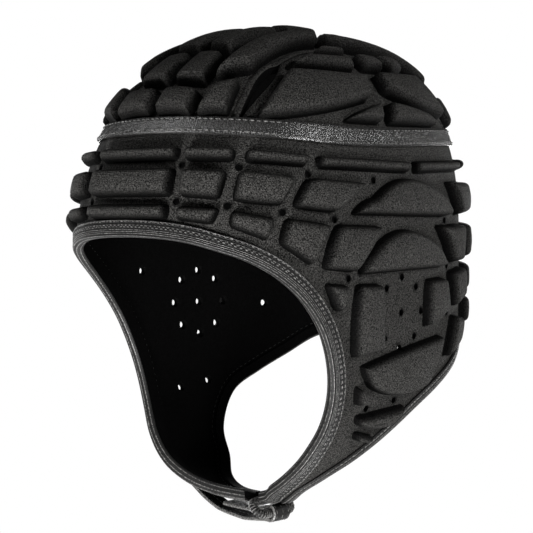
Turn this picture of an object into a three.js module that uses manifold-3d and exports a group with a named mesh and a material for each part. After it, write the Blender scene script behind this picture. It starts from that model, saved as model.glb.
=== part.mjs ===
// Rugby scrum cap: a padded head guard with ear flaps, crown panels and a chin loop
import * as THREE from "three";
import { mergeVertices } from "three/addons/utils/BufferGeometryUtils.js";
import Module from "manifold-3d";

const wasm = await Module();
wasm.setup();

// Head form, the outer face of the cloth wall, in millimetres
const halfWidth = 71.5;
const frontReach = 81;
const backReach = 126;
const crownHeight = 108;
const jawDepth = 118.5;
const crownSetBack = 21;
const planRoundness = 2.75;
const sideRoundness = 2.6;
const wallThickness = 2.6;

// Height of the webbing over the widest level of the head, and how far it dips over the ears
const tapeLevel = 62.1;
const tapeDip = 2.2;
const tapeWidth = 9;
const tapeThickness = 1.2;
const tapeClearance = 0.6;
const panelGap = 0.4;

// Foam pads: how far each kind stands off the wall, and how far its top is drawn in
const barRise = 5;
const bandPadRise = 5.6;
const earPadRise = 4.6;
const crownPadRise = 6.4;
const flankWidth = 1.9;
const cornerCutLong = 0.75;
const cornerCutDeep = 1.5;
const padShrinkLimit = 0.4;
const padStep = 30;
const padRoot = 1.2;

// Folded edge tapes
const browBindingWidth = 7;
const napeBindingWidth = 5;
const bindingThickness = 1.1;
const bindingClearance = 0.8;
const innerClearance = 1.5;
const openingTrim = 12;

// Vent holes
const ventDiameter = 2.8;
const ventReach = 24;
const ventSides = 5;
const earRingRadius = 17;
const earRingCount = 8;

// Chin loop, its hook tab and the ends of the two flaps
const loopCord = 4.6;
const loopLength = 29;
const loopHeight = 14;
const loopTilt = 46;
const loopCentreY = -19;
const tipClearance = 0.5;
const rightTipEnd = 8;
const strapWidth = 11;
const strapThickness = 1.6;
const strapStart = -14;
const strapReturn = -49;
const strapGap = 0.5;
const strapSlack = 3;
const strapPull = 8;
const strapTurnStart = 75;
const strapTurnEnd = -110;
const strapRunSteps = 5;
const strapTurnSteps = 6;
const loopSeatAlong = -0.3;
const loopBendSteps = 5;
const loopSides = 8;

// How finely the wall and the edges are cut into flats
const bandColumns = 36;
const bandRows = 10;
const capRows = 4;
const edgeSteps = 38;

// The openings' edges: degrees round from the brow, and level as a share of crown height or jaw depth
const faceEdge = [
  { azimuth: 0, level: 0.128 },
  { azimuth: 23, level: 0.11 },
  { azimuth: 34, level: 0.074 },
  { azimuth: 44, level: 0.028 },
  { azimuth: 54, level: -0.042 },
  { azimuth: 63, level: -0.135 },
  { azimuth: 70, level: -0.253 },
  { azimuth: 73.5, level: -0.397 },
  { azimuth: 73, level: -0.515 },
  { azimuth: 69, level: -0.63 },
  { azimuth: 61, level: -0.74 },
  { azimuth: 48, level: -0.855 },
];
const napeEdge = [
  { azimuth: 180, level: -0.3 },
  { azimuth: 165, level: -0.325 },
  { azimuth: 154, level: -0.38 },
  { azimuth: 146, level: -0.455 },
  { azimuth: 136, level: -0.53 },
  { azimuth: 124, level: -0.61 },
];

// Edges of the two flap ends under the chin, as shares of the half width and the front reach in plan
const leftTipFront = [
  { across: 0.4, along: -0.45 },
  { across: 0.3, along: -0.41 },
  { across: 0.2, along: -0.385 },
];
const leftTipRear = [
  { across: 0.74, along: 0.01 },
  { across: 0.655, along: -0.17 },
  { across: 0.54, along: -0.265 },
  { across: 0.38, along: -0.235 },
  { across: 0.29, along: -0.19 },
  { across: 0.2, along: -0.175 },
];
const rightTipFront = [
  { across: -0.4, along: -0.455 },
  { across: -0.25, along: -0.445 },
  { across: -0.05, along: -0.43 },
  { across: 0.112, along: -0.42 },
];
const rightTipRear = [
  { across: -0.76, along: 0.16 },
  { across: -0.6, along: 0.07 },
  { across: -0.42, along: -0.06 },
  { across: -0.25, along: -0.15 },
  { across: -0.08, along: -0.2 },
  { across: 0.112, along: -0.21 },
];

// Pads of the lower shell on the wearer's left, mirrored to the right: corners as [degrees, level].
// An arch lifts the middle of the upper edge and a sag drops the middle of the lower one
const barPads = [
  { lowFront: [21.5, 0.443], lowRear: [37.5, 0.438], highRear: [37.5, 0.487], highFront: [21.5, 0.493] },
  { lowFront: [41, 0.435], lowRear: [61.5, 0.418], highRear: [62.5, 0.466], highFront: [41, 0.484] },
  { lowFront: [67, 0.413], lowRear: [117.5, 0.405], highRear: [117.5, 0.455], highFront: [66, 0.463] },
  { lowFront: [121, 0.405], lowRear: [148, 0.425], highRear: [149, 0.475], highFront: [121, 0.456] },
  { lowFront: [21.5, 0.2], lowRear: [33, 0.182], highRear: [35, 0.245], highFront: [22, 0.255] },
];
const bandPads = [
  { lowFront: [22, 0.296], lowRear: [34.5, 0.283], highRear: [36, 0.395], highFront: [22, 0.405] },
  { lowFront: [38.5, 0.278], lowRear: [53.5, 0.26], highRear: [58, 0.375], highFront: [39.5, 0.397] },
  { lowFront: [57.5, 0.252], lowRear: [75, 0.232], highRear: [91, 0.355], highFront: [62.5, 0.372] },
  { lowFront: [84, 0.222], lowRear: [140, 0.212], highRear: [134, 0.31], highFront: [96, 0.29], arch: 0.07 },
  { lowFront: [144.5, 0.22], lowRear: [159, 0.24], highRear: [159, 0.38], highFront: [139, 0.37] },
  { lowFront: [38, 0.172], lowRear: [49.5, 0.115], highRear: [51.5, 0.205], highFront: [38.5, 0.235] },
  { lowFront: [53.5, 0.1], lowRear: [65, 0.01], highRear: [72.5, 0.178], highFront: [55.5, 0.205] },
  { lowFront: [70, -0.005], lowRear: [85.5, -0.02], highRear: [100, 0.17], highFront: [76, 0.178] },
  { lowFront: [88.5, -0.03], lowRear: [136, -0.015], highRear: [131, 0.08], highFront: [95, 0.06], arch: 0.075 },
  { lowFront: [139.5, 0], lowRear: [146, 0.005], highRear: [147.5, 0.178], highFront: [132, 0.17] },
  { lowFront: [150.5, 0.02], lowRear: [163, 0.03], highRear: [163, 0.19], highFront: [151.5, 0.18] },
];
const earPads = [
  { lowFront: [75.5, -0.165], lowRear: [79, -0.17], highRear: [82, -0.072], highFront: [71, -0.062] },
  { lowFront: [84, -0.355], lowRear: [101, -0.335], highRear: [101, -0.073], highFront: [87.5, -0.07] },
  { lowFront: [126, -0.26], lowRear: [138, -0.2], highRear: [136, -0.06], highFront: [127, -0.065] },
  { lowFront: [141.5, -0.19], lowRear: [149.5, -0.145], highRear: [149, -0.02], highFront: [139.5, -0.04] },
  { lowFront: [153, -0.125], lowRear: [163, -0.115], highRear: [163, 0], highFront: [153, -0.01] },
  { lowFront: [152, -0.27], lowRear: [163, -0.24], highRear: [163, -0.145], highFront: [153, -0.155] },
  { lowFront: [138.5, -0.4], lowRear: [146, -0.335], highRear: [148, -0.235], highFront: [142, -0.225] },
  { lowFront: [94, -0.48], lowRear: [128, -0.5], highRear: [135.5, -0.3], highFront: [89, -0.395], sag: 0.035 },
  { lowFront: [86, -0.55], lowRear: [93.5, -0.54], highRear: [88.5, -0.475], highFront: [86, -0.475] },
  { lowFront: [87, -0.628], lowRear: [110, -0.645], highRear: [118, -0.575], highFront: [87, -0.595], sag: 0.02 },
  { lowFront: [87, -0.694], lowRear: [95, -0.708], highRear: [101, -0.692], highFront: [87, -0.66] },
];

// Pads that straddle the brow and the nape centre line: half width in degrees and their two levels
const centrePads = [
  { azimuth: 0, half: 18.5, low: 0.445, high: 0.495, rise: barRise },
  { azimuth: 0, half: 18.5, low: 0.297, high: 0.408, rise: bandPadRise },
  { azimuth: 0, half: 18, low: 0.202, high: 0.262, rise: barRise },
  { azimuth: 180, half: 27, low: 0.435, high: 0.485, rise: barRise },
  { azimuth: 180, half: 17, low: 0.245, high: 0.39, rise: bandPadRise },
  { azimuth: 180, half: 13, low: 0.035, high: 0.195, rise: bandPadRise },
  { azimuth: 180, half: 13, low: -0.11, high: 0.003, rise: earPadRise },
  { azimuth: 180, half: 13, low: -0.235, high: -0.14, rise: earPadRise },
];

// Pads of a crown side panel: corners as [degrees, ring], where the ring is the share of the plan outline
const sidePads = [
  { lowFront: [45, 0.862], lowRear: [101, 0.8], highRear: [103, 0.695], highFront: [54, 0.695], sag: -0.045 },
  { lowFront: [80, 0.88], lowRear: [104, 0.88], highRear: [104, 0.825], highFront: [84, 0.868] },
  { lowFront: [109, 0.88], lowRear: [139, 0.875], highRear: [133, 0.845], highFront: [111, 0.82], arch: -0.01 },
  { lowFront: [112, 0.775], lowRear: [147, 0.85], highRear: [142, 0.68], highFront: [112, 0.69], sag: 0.015 },
  { lowFront: [56, 0.665], lowRear: [98, 0.665], highRear: [98, 0.58], highFront: [63, 0.59] },
  { lowFront: [68, 0.56], lowRear: [100, 0.56], highRear: [98, 0.5], highFront: [76, 0.505] },
  { lowFront: [107, 0.655], lowRear: [125, 0.65], highRear: [121, 0.57], highFront: [105, 0.565] },
  { lowFront: [130, 0.65], lowRear: [142, 0.64], highRear: [136, 0.56], highFront: [126, 0.56] },
];

// Pads of one quarter of the crown strip: corners as [share of half width, share of front reach]
const stripPads = [
  { lowFront: [0.035, -0.868], lowRear: [0.33, -0.855], highRear: [0.31, -0.755], highFront: [0.035, -0.765] },
  { lowFront: [0.38, -0.845], lowRear: [0.56, -0.77], highRear: [0.5, -0.63], highFront: [0.38, -0.715] },
  { lowFront: [0.035, -0.735], lowRear: [0.28, -0.725], highRear: [0.24, -0.595], highFront: [0.04, -0.6] },
  { lowFront: [0.04, -0.565], lowRear: [0.26, -0.56], highRear: [0.22, -0.185], highFront: [0.04, -0.185] },
  { lowFront: [0.335, -0.69], lowRear: [0.5, -0.56], highRear: [0.4, -0.03], highFront: [0.31, -0.03] },
];
const topPad = { lowFront: [0.04, -0.15], lowRear: [0.24, -0.15], highRear: [0.24, 0.1], highFront: [0.04, 0.1] };

// Seam between the crown strip and a side panel, and the vent slit at its front end
const seamLine = [
  { share: -0.445, half: 0.55 },
  { share: -0.22, half: 0.495 },
  { share: 0, half: 0.46 },
  { share: 0.22, half: 0.495 },
  { share: 0.445, half: 0.55 },
];
const slitSpread = { across: 0.85, along: 0.5 };
const slitRows = [
  { across: 0.62, along: -0.735, width: 0.4 },
  { across: 0.61, along: -0.66, width: 3.4 },
  { across: 0.585, along: -0.565, width: 6 },
  { across: 0.56, along: -0.49, width: 4 },
];

// Vent holes on the wearer's left besides the ring over the ear, mirrored to the right
const ventPoints = [
  { azimuth: 20.3, level: 0.427 },
  { azimuth: 20.3, level: 0.276 },
  { azimuth: 39.3, level: 0.414 },
  { azimuth: 37, level: 0.256 },
  { azimuth: 63.3, level: 0.39 },
  { azimuth: 54.5, level: 0.23 },
  { azimuth: 76, level: 0.2 },
  { azimuth: 98, level: 0.37 },
  { azimuth: 138.5, level: 0.195 },
  { azimuth: 83.7, level: -0.045 },
  { azimuth: 140, level: -0.013 },
  { azimuth: 140, level: -0.212 },
  { azimuth: 150.5, level: -0.15 },
  { azimuth: 94.5, level: -0.572 },
  { azimuth: 112, level: -0.553 },
];
const earCentre = { azimuth: 114, level: -0.193 };

const apexOffset = crownHeight - wallThickness;
const farReach = 3 * backReach;
const jawBottom = -apexOffset - jawDepth;

function signedPower(value, power) {
  return Math.sign(value) * Math.abs(value) ** power;
}

// Point of the head form from its plan position and height over the widest level
function seat(x, depth, height) {
  const bend = crownSetBack * ((height / crownHeight) ** 2 - 1);
  return new THREE.Vector3(x, depth + bend, height - apexOffset);
}

function ringOf(level) {
  return Math.max(0, 1 - Math.abs(level) ** sideRoundness) ** (1 / sideRoundness);
}

function levelOf(ring) {
  return Math.max(0, 1 - ring ** sideRoundness) ** (1 / sideRoundness);
}

// Share of the widest plan outline at a position given as shares of the half width and the reach
function planRing(across, along) {
  const n = planRoundness;
  return (Math.abs(across) ** n + Math.abs(along) ** n) ** (1 / n);
}

// Value and slope of the head form at a plan position and height: below one is inside the form
function formField(x, depth, height) {
  const reach = depth < 0 ? frontReach : backReach;
  const rise = height > 0 ? crownHeight : jawDepth;
  const n = planRoundness;
  const p = sideRoundness;
  const ring = (Math.abs(x / halfWidth) ** n + Math.abs(depth / reach) ** n) ** (1 / n);
  const pull = ring > 0 ? p * ring ** (p - n) : 0;
  const acrossX = pull * signedPower(x / halfWidth, n - 1) / halfWidth;
  const acrossY = pull * signedPower(depth / reach, n - 1) / reach;
  const up = p * signedPower(height / rise, p - 1) / rise;
  const lean = 2 * crownSetBack * height / crownHeight ** 2;
  const slope = new THREE.Vector3(acrossX, acrossY, up - acrossY * lean);
  return { value: ring ** p + Math.abs(height / rise) ** p, slope };
}

function formNormal(x, depth, height) {
  return formField(x, depth, height).slope.normalize();
}

// Nearest point of the head form to a point close by, with the normal there
function ontoForm(point) {
  const spot = point.clone();
  const normal = new THREE.Vector3();
  for (let i = 0; i < 3; i += 1) {
    const height = spot.z + apexOffset;
    const depth = spot.y - crownSetBack * ((height / crownHeight) ** 2 - 1);
    const { value, slope } = formField(spot.x, depth, height);
    spot.addScaledVector(slope, (1 - value) / slope.lengthSq());
    normal.copy(slope).normalize();
  }
  return { point: spot, normal };
}

// Point at an azimuth and level, lifted off the wall along its normal
function formPoint(azimuth, level, lift = 0) {
  const turn = THREE.MathUtils.degToRad(azimuth);
  const sine = Math.sin(turn);
  const cosine = Math.cos(turn);
  const reach = cosine > 0 ? frontReach : backReach;
  const n = planRoundness;
  const outline = (Math.abs(sine / halfWidth) ** n + Math.abs(cosine / reach) ** n) ** (-1 / n);
  const ring = ringOf(level);
  const x = ring * outline * sine;
  const depth = -ring * outline * cosine;
  const height = level * (level > 0 ? crownHeight : jawDepth);
  return seat(x, depth, height).addScaledVector(formNormal(x, depth, height), lift);
}

// Point of a crown side panel by azimuth and share of the plan outline
function sideChart(azimuth, ring, lift) {
  return formPoint(azimuth, levelOf(ring), lift);
}

// Point of the crown strip by its shares across and along
function stripChart(across, along, lift) {
  const x = across * halfWidth;
  const depth = along * (along < 0 ? frontReach : backReach);
  const height = levelOf(planRing(across, along)) * crownHeight;
  return seat(x, depth, height).addScaledVector(formNormal(x, depth, height), lift);
}

function tapeHeight(azimuth) {
  return tapeLevel + tapeDip * Math.cos(2 * THREE.MathUtils.degToRad(azimuth));
}

// Levels at even steps of length along the side outline, from one level down to another
function evenLevels(from, to, count) {
  const fine = 240;
  const angleOf = (level) => Math.asin(signedPower(level, sideRoundness / 2));
  const start = angleOf(from);
  const sweep = angleOf(to) - start;
  const lengths = [0];
  const levels = [from];
  for (let i = 1; i <= fine; i += 1) {
    const angle = start + sweep * i / fine;
    levels.push(i === fine ? to : signedPower(Math.sin(angle), 2 / sideRoundness));
    const rise = (levels[i] - levels[i - 1]) * crownHeight;
    const run = (ringOf(levels[i]) - ringOf(levels[i - 1])) * halfWidth;
    lengths.push(lengths[i - 1] + Math.hypot(rise, run));
  }
  const picked = [from];
  for (let i = 1; i < count; i += 1) {
    const goal = lengths[fine] * i / count;
    picked.push(levels[lengths.findIndex((length) => length >= goal)]);
  }
  picked.push(to);
  return picked;
}

// Solid from points and triangles; the triangles agree with each other and are turned to face outward
function toSolid(points, faces) {
  const vertProperties = new Float32Array(points.flatMap((point) => [point.x, point.y, point.z]));
  const build = (triangles) => {
    const triVerts = new Uint32Array(triangles.flat());
    return new wasm.Manifold(new wasm.Mesh({ numProp: 3, vertProperties, triVerts }));
  };
  const solid = build(faces);
  return solid.volume() < 0 ? build(faces.map(([a, b, c]) => [a, c, b])) : solid;
}

function geometrySolid(geometry) {
  geometry.deleteAttribute("normal");
  geometry.deleteAttribute("uv");
  const welded = mergeVertices(geometry, 1e-4);
  const vertProperties = new Float32Array(welded.attributes.position.array);
  const triVerts = new Uint32Array(welded.index.array);
  return new wasm.Manifold(new wasm.Mesh({ numProp: 3, vertProperties, triVerts }));
}

// Closed shell between two lifts, as rings of points that start at a rim and end in a pole
function domeShell(levelAt, rows) {
  const points = [];
  const faces = [];
  const skins = [0, -wallThickness];
  for (const lift of skins) {
    for (let row = 0; row < rows; row += 1) {
      for (let column = 0; column < bandColumns; column += 1) {
        const azimuth = 360 * column / bandColumns;
        points.push(formPoint(azimuth, levelAt(azimuth, row), lift));
      }
    }
    points.push(formPoint(0, levelAt(0, rows), lift));
  }
  const skinSize = rows * bandColumns + 1;
  for (let skin = 0; skin < 2; skin += 1) {
    const base = skin * skinSize;
    const addFace = (a, b, c) => faces.push(skin === 0 ? [a, b, c] : [a, c, b]);
    for (let column = 0; column < bandColumns; column += 1) {
      const next = (column + 1) % bandColumns;
      for (let row = 0; row < rows - 1; row += 1) {
        const here = base + row * bandColumns;
        const there = here + bandColumns;
        addFace(here + column, there + column, there + next);
        addFace(here + column, there + next, here + next);
      }
      const last = base + (rows - 1) * bandColumns;
      addFace(last + column, base + skinSize - 1, last + next);
    }
  }
  for (let column = 0; column < bandColumns; column += 1) {
    const next = (column + 1) % bandColumns;
    faces.push([column, next, skinSize + next], [column, skinSize + next, skinSize + column]);
  }
  return toSolid(points, faces);
}

// Grid of one pad in its chart: two shares across and along, with arched or sagging long edges
function padGrid(pad, chart, steps, inset, lift) {
  const corner = (name) => new THREE.Vector2(...pad[name]);
  const mix = (s, w) => {
    const low = corner("lowFront").lerp(corner("lowRear"), s);
    const high = corner("highFront").lerp(corner("highRear"), s);
    const bow = 4 * s * (1 - s);
    low.y -= bow * (pad.sag ?? 0);
    high.y += bow * (pad.arch ?? 0);
    return low.lerp(high, w);
  };
  const span = (s, w, ds, dw) => {
    const a = mix(s - ds, w - dw);
    const b = mix(s + ds, w + dw);
    return chart(a.x, a.y, 0).distanceTo(chart(b.x, b.y, 0));
  };
  const rows = [];
  for (const w of [0, 1]) {
    const row = [];
    for (let i = 0; i <= steps; i += 1) {
      const s = i / steps;
      const length = span(0.5, w, 0.5, 0);
      const depth = span(s, 0.5, 0, 0.5);
      const atEnd = i === 0 || i === steps;
      const longInset = inset + (atEnd ? cornerCutLong : 0);
      const deepInset = inset + (atEnd ? cornerCutDeep : 0);
      const shareLong = Math.min(padShrinkLimit, longInset / length);
      const shareDeep = Math.min(padShrinkLimit, deepInset / depth);
      const spot = mix(s + (1 - 2 * s) * shareLong, w + (1 - 2 * w) * shareDeep);
      row.push(chart(spot.x, spot.y, lift));
    }
    rows.push(row);
  }
  return rows;
}

// One foam pad: foot inside the wall, steep flank and a top drawn in all round
function padSolid(pad, chart) {
  const from = chart(...pad.lowFront, 0);
  const to = chart(...pad.lowRear, 0);
  const steps = Math.max(1, Math.round(from.distanceTo(to) / padStep));
  const levels = [
    padGrid(pad, chart, steps, 0, -padRoot),
    padGrid(pad, chart, steps, flankWidth, pad.rise),
  ];
  const points = [];
  const faces = [];
  const outline = 2 * (steps + 1);
  for (const [low, high] of levels) {
    points.push(...low, ...high.slice().reverse());
  }
  for (let i = 0; i < outline; i += 1) {
    const next = (i + 1) % outline;
    faces.push([i, next, outline + next], [i, outline + next, outline + i]);
  }
  for (let i = 0; i < steps; i += 1) {
    const across = outline - 1 - i;
    const top = outline + i;
    const topAcross = outline + across;
    faces.push([top, top + 1, topAcross - 1], [top, topAcross - 1, topAcross]);
    faces.push([i, across, across - 1], [i, across - 1, i + 1]);
  }
  return toSolid(points, faces);
}

function mirrorPad(pad) {
  const flipped = {};
  for (const name of ["lowFront", "lowRear", "highRear", "highFront"]) {
    flipped[name] = [-pad[name][0], pad[name][1]];
  }
  return { ...pad, ...flipped };
}

function turnPad(pad) {
  const turned = {};
  for (const name of ["lowFront", "lowRear", "highRear", "highFront"]) {
    turned[name] = [pad[name][0], -pad[name][1]];
  }
  return { ...pad, ...turned };
}

function centrePad(row) {
  const from = row.azimuth - row.half;
  const to = row.azimuth + row.half;
  return {
    lowFront: [from, row.low],
    lowRear: [to, row.low],
    highRear: [to, row.high],
    highFront: [from, row.high],
    rise: row.rise,
  };
}

function raised(pads, rise) {
  return pads.map((pad) => ({ ...pad, rise }));
}

function joinAll(solids) {
  return wasm.Manifold.union(solids);
}

// A punched vent along the wall's normal
function ventSolid(point, normal) {
  const geometry = new THREE.CylinderGeometry(ventDiameter / 2, ventDiameter / 2, ventReach, ventSides);
  const turn = new THREE.Quaternion().setFromUnitVectors(new THREE.Vector3(0, 1, 0), normal);
  geometry.applyQuaternion(turn);
  geometry.translate(point.x, point.y, point.z);
  return geometrySolid(geometry);
}

function ventAt(azimuth, level) {
  const point = formPoint(azimuth, level, 0);
  const normal = formPoint(azimuth, level, 1).sub(point);
  return { point, normal };
}

function earVents(side) {
  const { point, normal } = ventAt(side * earCentre.azimuth, earCentre.level);
  const up = new THREE.Vector3(0, 0, 1).addScaledVector(normal, -normal.z).normalize();
  const along = normal.clone().cross(up);
  const vents = [ventSolid(point, normal)];
  for (let i = 0; i < earRingCount; i += 1) {
    const angle = 2 * Math.PI * i / earRingCount;
    const spot = point.clone();
    spot.addScaledVector(up, earRingRadius * Math.cos(angle));
    spot.addScaledVector(along, earRingRadius * Math.sin(angle));
    vents.push(ventSolid(spot, normal));
  }
  return vents;
}

// Point of the jaw from its shares in plan
function jawPoint(across, along) {
  const depth = along * (along < 0 ? frontReach : backReach);
  return seat(across * halfWidth, depth, -levelOf(planRing(across, along)) * jawDepth);
}

function edgePoint(row) {
  return row.level === undefined ? jawPoint(row.across, row.along) : formPoint(row.azimuth, row.level);
}

// Smooth path along an opening's edge on the wall's outer face, with its frames
function edgePath(rows, steps) {
  const curve = new THREE.CatmullRomCurve3(rows.map(edgePoint), false, "centripetal");
  const frames = [];
  for (let i = 0; i <= steps; i += 1) {
    const share = i / steps;
    frames.push({ ...ontoForm(curve.getPointAt(share)), tangent: curve.getTangentAt(share) });
  }
  return frames;
}

// Solid swept along frames from a section given as [inward from the edge, out from the wall]
function sweepEdge(frames, section) {
  const points = [];
  for (const { point, normal, tangent } of frames) {
    const inward = normal.clone().cross(tangent);
    for (const [along, out] of section) {
      points.push(point.clone().addScaledVector(inward, along).addScaledVector(normal, out));
    }
  }
  const size = section.length;
  const faces = [];
  for (let i = 0; i < frames.length - 1; i += 1) {
    for (let j = 0; j < size; j += 1) {
      const next = (j + 1) % size;
      const a = i * size + j;
      const b = i * size + next;
      faces.push([a, a + size, b + size], [a, b + size, b]);
    }
  }
  const outline = section.map(([along, out]) => new THREE.Vector2(along, out));
  const last = (frames.length - 1) * size;
  const turn = Math.sign(THREE.ShapeUtils.area(outline));
  for (const [a, b, c] of THREE.ShapeUtils.triangulateShape(outline, [])) {
    const corner = THREE.ShapeUtils.area([outline[a], outline[b], outline[c]]);
    const [p, q, r] = Math.sign(corner) === turn ? [a, b, c] : [a, c, b];
    faces.push([p, q, r], [last + p, last + r, last + q]);
  }
  return toSolid(points, faces);
}

function bindingSolid(rows, width) {
  return sweepEdge(edgePath(rows, edgeSteps), foldedSection(width));
}

// U section of a folded tape that holds the wall's edge, with clearance on both faces
function foldedSection(width) {
  const inner = -wallThickness - innerClearance;
  return [
    [width, bindingClearance],
    [bindingThickness, bindingClearance],
    [bindingThickness, inner],
    [width, inner],
    [width, inner - bindingThickness],
    [0, inner - bindingThickness],
    [0, bindingClearance + bindingThickness],
    [width, bindingClearance + bindingThickness],
  ];
}

function mirrorRows(rows) {
  return rows.map((row) => ({ azimuth: -row.azimuth, level: row.level }));
}

function mirrorAcross(rows) {
  return rows.map((row) => ({ across: -row.across, along: row.along }));
}

const wholeFaceEdge = [
  ...[...rightTipFront].reverse(),
  ...mirrorRows(faceEdge).reverse().slice(0, -1),
  ...faceEdge,
  ...leftTipFront,
];
const wholeNapeEdge = [
  ...[...leftTipRear].reverse(),
  ...[...napeEdge].reverse(),
  ...napeEdge.slice(1).map((row) => ({ azimuth: 360 - row.azimuth, level: row.level })),
  ...rightTipRear,
];

function strapLoopX() {
  return rightTipEnd + tipClearance + loopCord / 2;
}

const leftTipX = strapLoopX() + loopCord / 2 + tipClearance;

// Side-view outline that lies inside an opening, clear of its edge, as [back, up]
function sideOutline(rows) {
  return edgePath(rows, rows.length).map(({ point, normal, tangent }) => {
    const outward = tangent.clone().cross(normal);
    const spot = point.clone().addScaledVector(outward, openingTrim / 4);
    return [spot.y, spot.z];
  });
}

// Band along an opening's edge that trims the wall square to its face
function edgeTrim(frames) {
  const inset = bindingThickness + bindingClearance;
  const depth = 3 * wallThickness;
  return sweepEdge(frames, [
    [-openingTrim, -depth],
    [inset, -depth],
    [inset, depth],
    [-openingTrim, depth],
  ]);
}

// Block across the head from x to x with a side-view outline
function crossBlock(outline, fromX, toX) {
  const shape = new THREE.Shape(outline.map(([y, z]) => new THREE.Vector2(y, z)));
  const geometry = new THREE.ExtrudeGeometry(shape, { depth: toX - fromX, bevelEnabled: false });
  geometry.applyMatrix4(new THREE.Matrix4().makeBasis(
    new THREE.Vector3(0, 1, 0),
    new THREE.Vector3(0, 0, 1),
    new THREE.Vector3(1, 0, 0),
  ));
  geometry.translate(fromX, 0, 0);
  return geometrySolid(geometry);
}

function box(fromX, toX, fromY, toY, fromZ, toZ) {
  const geometry = new THREE.BoxGeometry(toX - fromX, toY - fromY, toZ - fromZ);
  geometry.translate((fromX + toX) / 2, (fromY + toY) / 2, (fromZ + toZ) / 2);
  return geometrySolid(geometry);
}

// Rough cut of an opening: everything in front of, or behind, a side-view outline
function openingCut(rows, side, fromX, toX) {
  const edge = sideOutline(rows);
  const last = edge[edge.length - 1];
  const outline = [
    [side * farReach, edge[0][1]],
    ...edge,
    [last[0], jawBottom - farReach],
    [side * farReach, jawBottom - farReach],
  ];
  return crossBlock(outline, fromX, toX);
}

function lowerShell() {
  const rowLevels = evenLevels(tapeLevel / crownHeight, -1, bandRows);
  const levelAt = (azimuth, row) => {
    const rim = (tapeHeight(azimuth) - panelGap / 2) / crownHeight;
    return row === 0 ? rim : rowLevels[row];
  };
  let shell = domeShell(levelAt, bandRows);
  const leftPads = [
    ...raised(barPads, barRise),
    ...raised(bandPads, bandPadRise),
    ...raised(earPads, earPadRise),
  ];
  const pads = [...leftPads, ...leftPads.map(mirrorPad), ...centrePads.map(centrePad)];
  shell = joinAll([shell, ...pads.map((pad) => padSolid(pad, formPoint))]);
  const cuts = [
    edgeTrim(edgePath(wholeFaceEdge, edgeSteps)),
    edgeTrim(edgePath(wholeNapeEdge, edgeSteps)),
    openingCut([...faceEdge, ...mirrorAcross(rightTipFront)], -1, -farReach, farReach),
    openingCut([...napeEdge, ...leftTipRear], 1, 0, farReach),
    openingCut([...napeEdge, ...mirrorAcross(rightTipRear)], 1, -farReach, 0),
    box(rightTipEnd, leftTipX, -frontReach, backReach, jawBottom - farReach, jawBottom + jawDepth / 3),
  ];
  for (const side of [-1, 1]) {
    cuts.push(...earVents(side));
    for (const row of ventPoints) {
      const { point, normal } = ventAt(side * row.azimuth, row.level);
      cuts.push(ventSolid(point, normal));
    }
  }
  return shell.subtract(joinAll(cuts));
}

// Plan outline of the crown strip, drawn in or out by half the gap, with the slits left out or taken in
function stripOutline(offset, slitSign) {
  const half = [];
  const plan = (across, along) => stripChart(across, along, 0);
  const addSlit = (sign, rows) => {
    for (const row of rows) {
      const spot = plan(row.across, sign * -row.along);
      const shift = slitSign * row.width / 2;
      half.push([spot.x + shift * slitSpread.across + offset, spot.y - sign * shift * slitSpread.along]);
    }
  };
  half.push([slitRows[0].across * halfWidth + offset, -farReach]);
  addSlit(-1, slitRows);
  for (const row of seamLine) {
    const spot = plan(row.half, row.share);
    half.push([spot.x + offset, spot.y]);
  }
  addSlit(1, [...slitRows].reverse());
  half.push([slitRows[0].across * halfWidth + offset, farReach]);
  const mirrored = half.map(([x, y]) => [-x, y]).reverse();
  const shape = new THREE.Shape([...half, ...mirrored].map(([x, y]) => new THREE.Vector2(x, y)));
  const geometry = new THREE.ExtrudeGeometry(shape, { depth: 2 * farReach, bevelEnabled: false });
  geometry.translate(0, 0, -farReach);
  return geometrySolid(geometry);
}

function crownPanels() {
  const capLevels = evenLevels(tapeLevel / crownHeight, 1, capRows);
  const levelAt = (azimuth, row) => {
    const rim = (tapeHeight(azimuth) + panelGap / 2) / crownHeight;
    return row === 0 ? rim : capLevels[row];
  };
  const cap = domeShell(levelAt, capRows);
  const quarter = raised(stripPads, crownPadRise);
  const half = [...quarter, ...quarter.map(turnPad), ...raised([topPad], crownPadRise)];
  const strip = [...half, ...half.map(mirrorPad)].map((pad) => padSolid(pad, stripChart));
  const side = raised(sidePads, crownPadRise);
  const stripBase = cap.intersect(stripOutline(-panelGap / 2, -1));
  const sideBase = cap.subtract(stripOutline(panelGap / 2, 1));
  const leftBase = sideBase.intersect(box(0, farReach, -farReach, farReach, -farReach, farReach));
  const rightBase = sideBase.intersect(box(-farReach, 0, -farReach, farReach, -farReach, farReach));
  return {
    strip: joinAll([stripBase, ...strip]),
    left: joinAll([leftBase, ...side.map((pad) => padSolid(pad, sideChart))]),
    right: joinAll([rightBase, ...side.map((pad) => padSolid(mirrorPad(pad), sideChart))]),
  };
}

// Webbing round the head over the join of the crown and the lower shell
function tapeSolid() {
  const points = [];
  const faces = [];
  const section = [
    [-tapeWidth / 2, tapeClearance],
    [tapeWidth / 2, tapeClearance],
    [tapeWidth / 2, tapeClearance + tapeThickness],
    [-tapeWidth / 2, tapeClearance + tapeThickness],
  ];
  for (let i = 0; i < bandColumns; i += 1) {
    const azimuth = 360 * i / bandColumns;
    for (const [rise, lift] of section) {
      points.push(formPoint(azimuth, (tapeHeight(azimuth) + rise) / crownHeight, lift));
    }
  }
  const size = section.length;
  for (let i = 0; i < bandColumns; i += 1) {
    const next = (i + 1) % bandColumns;
    for (let j = 0; j < size; j += 1) {
      const over = (j + 1) % size;
      const here = i * size;
      const there = next * size;
      faces.push([here + j, there + over, there + j], [here + j, here + over, there + over]);
    }
  }
  return toSolid(points, faces);
}

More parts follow.
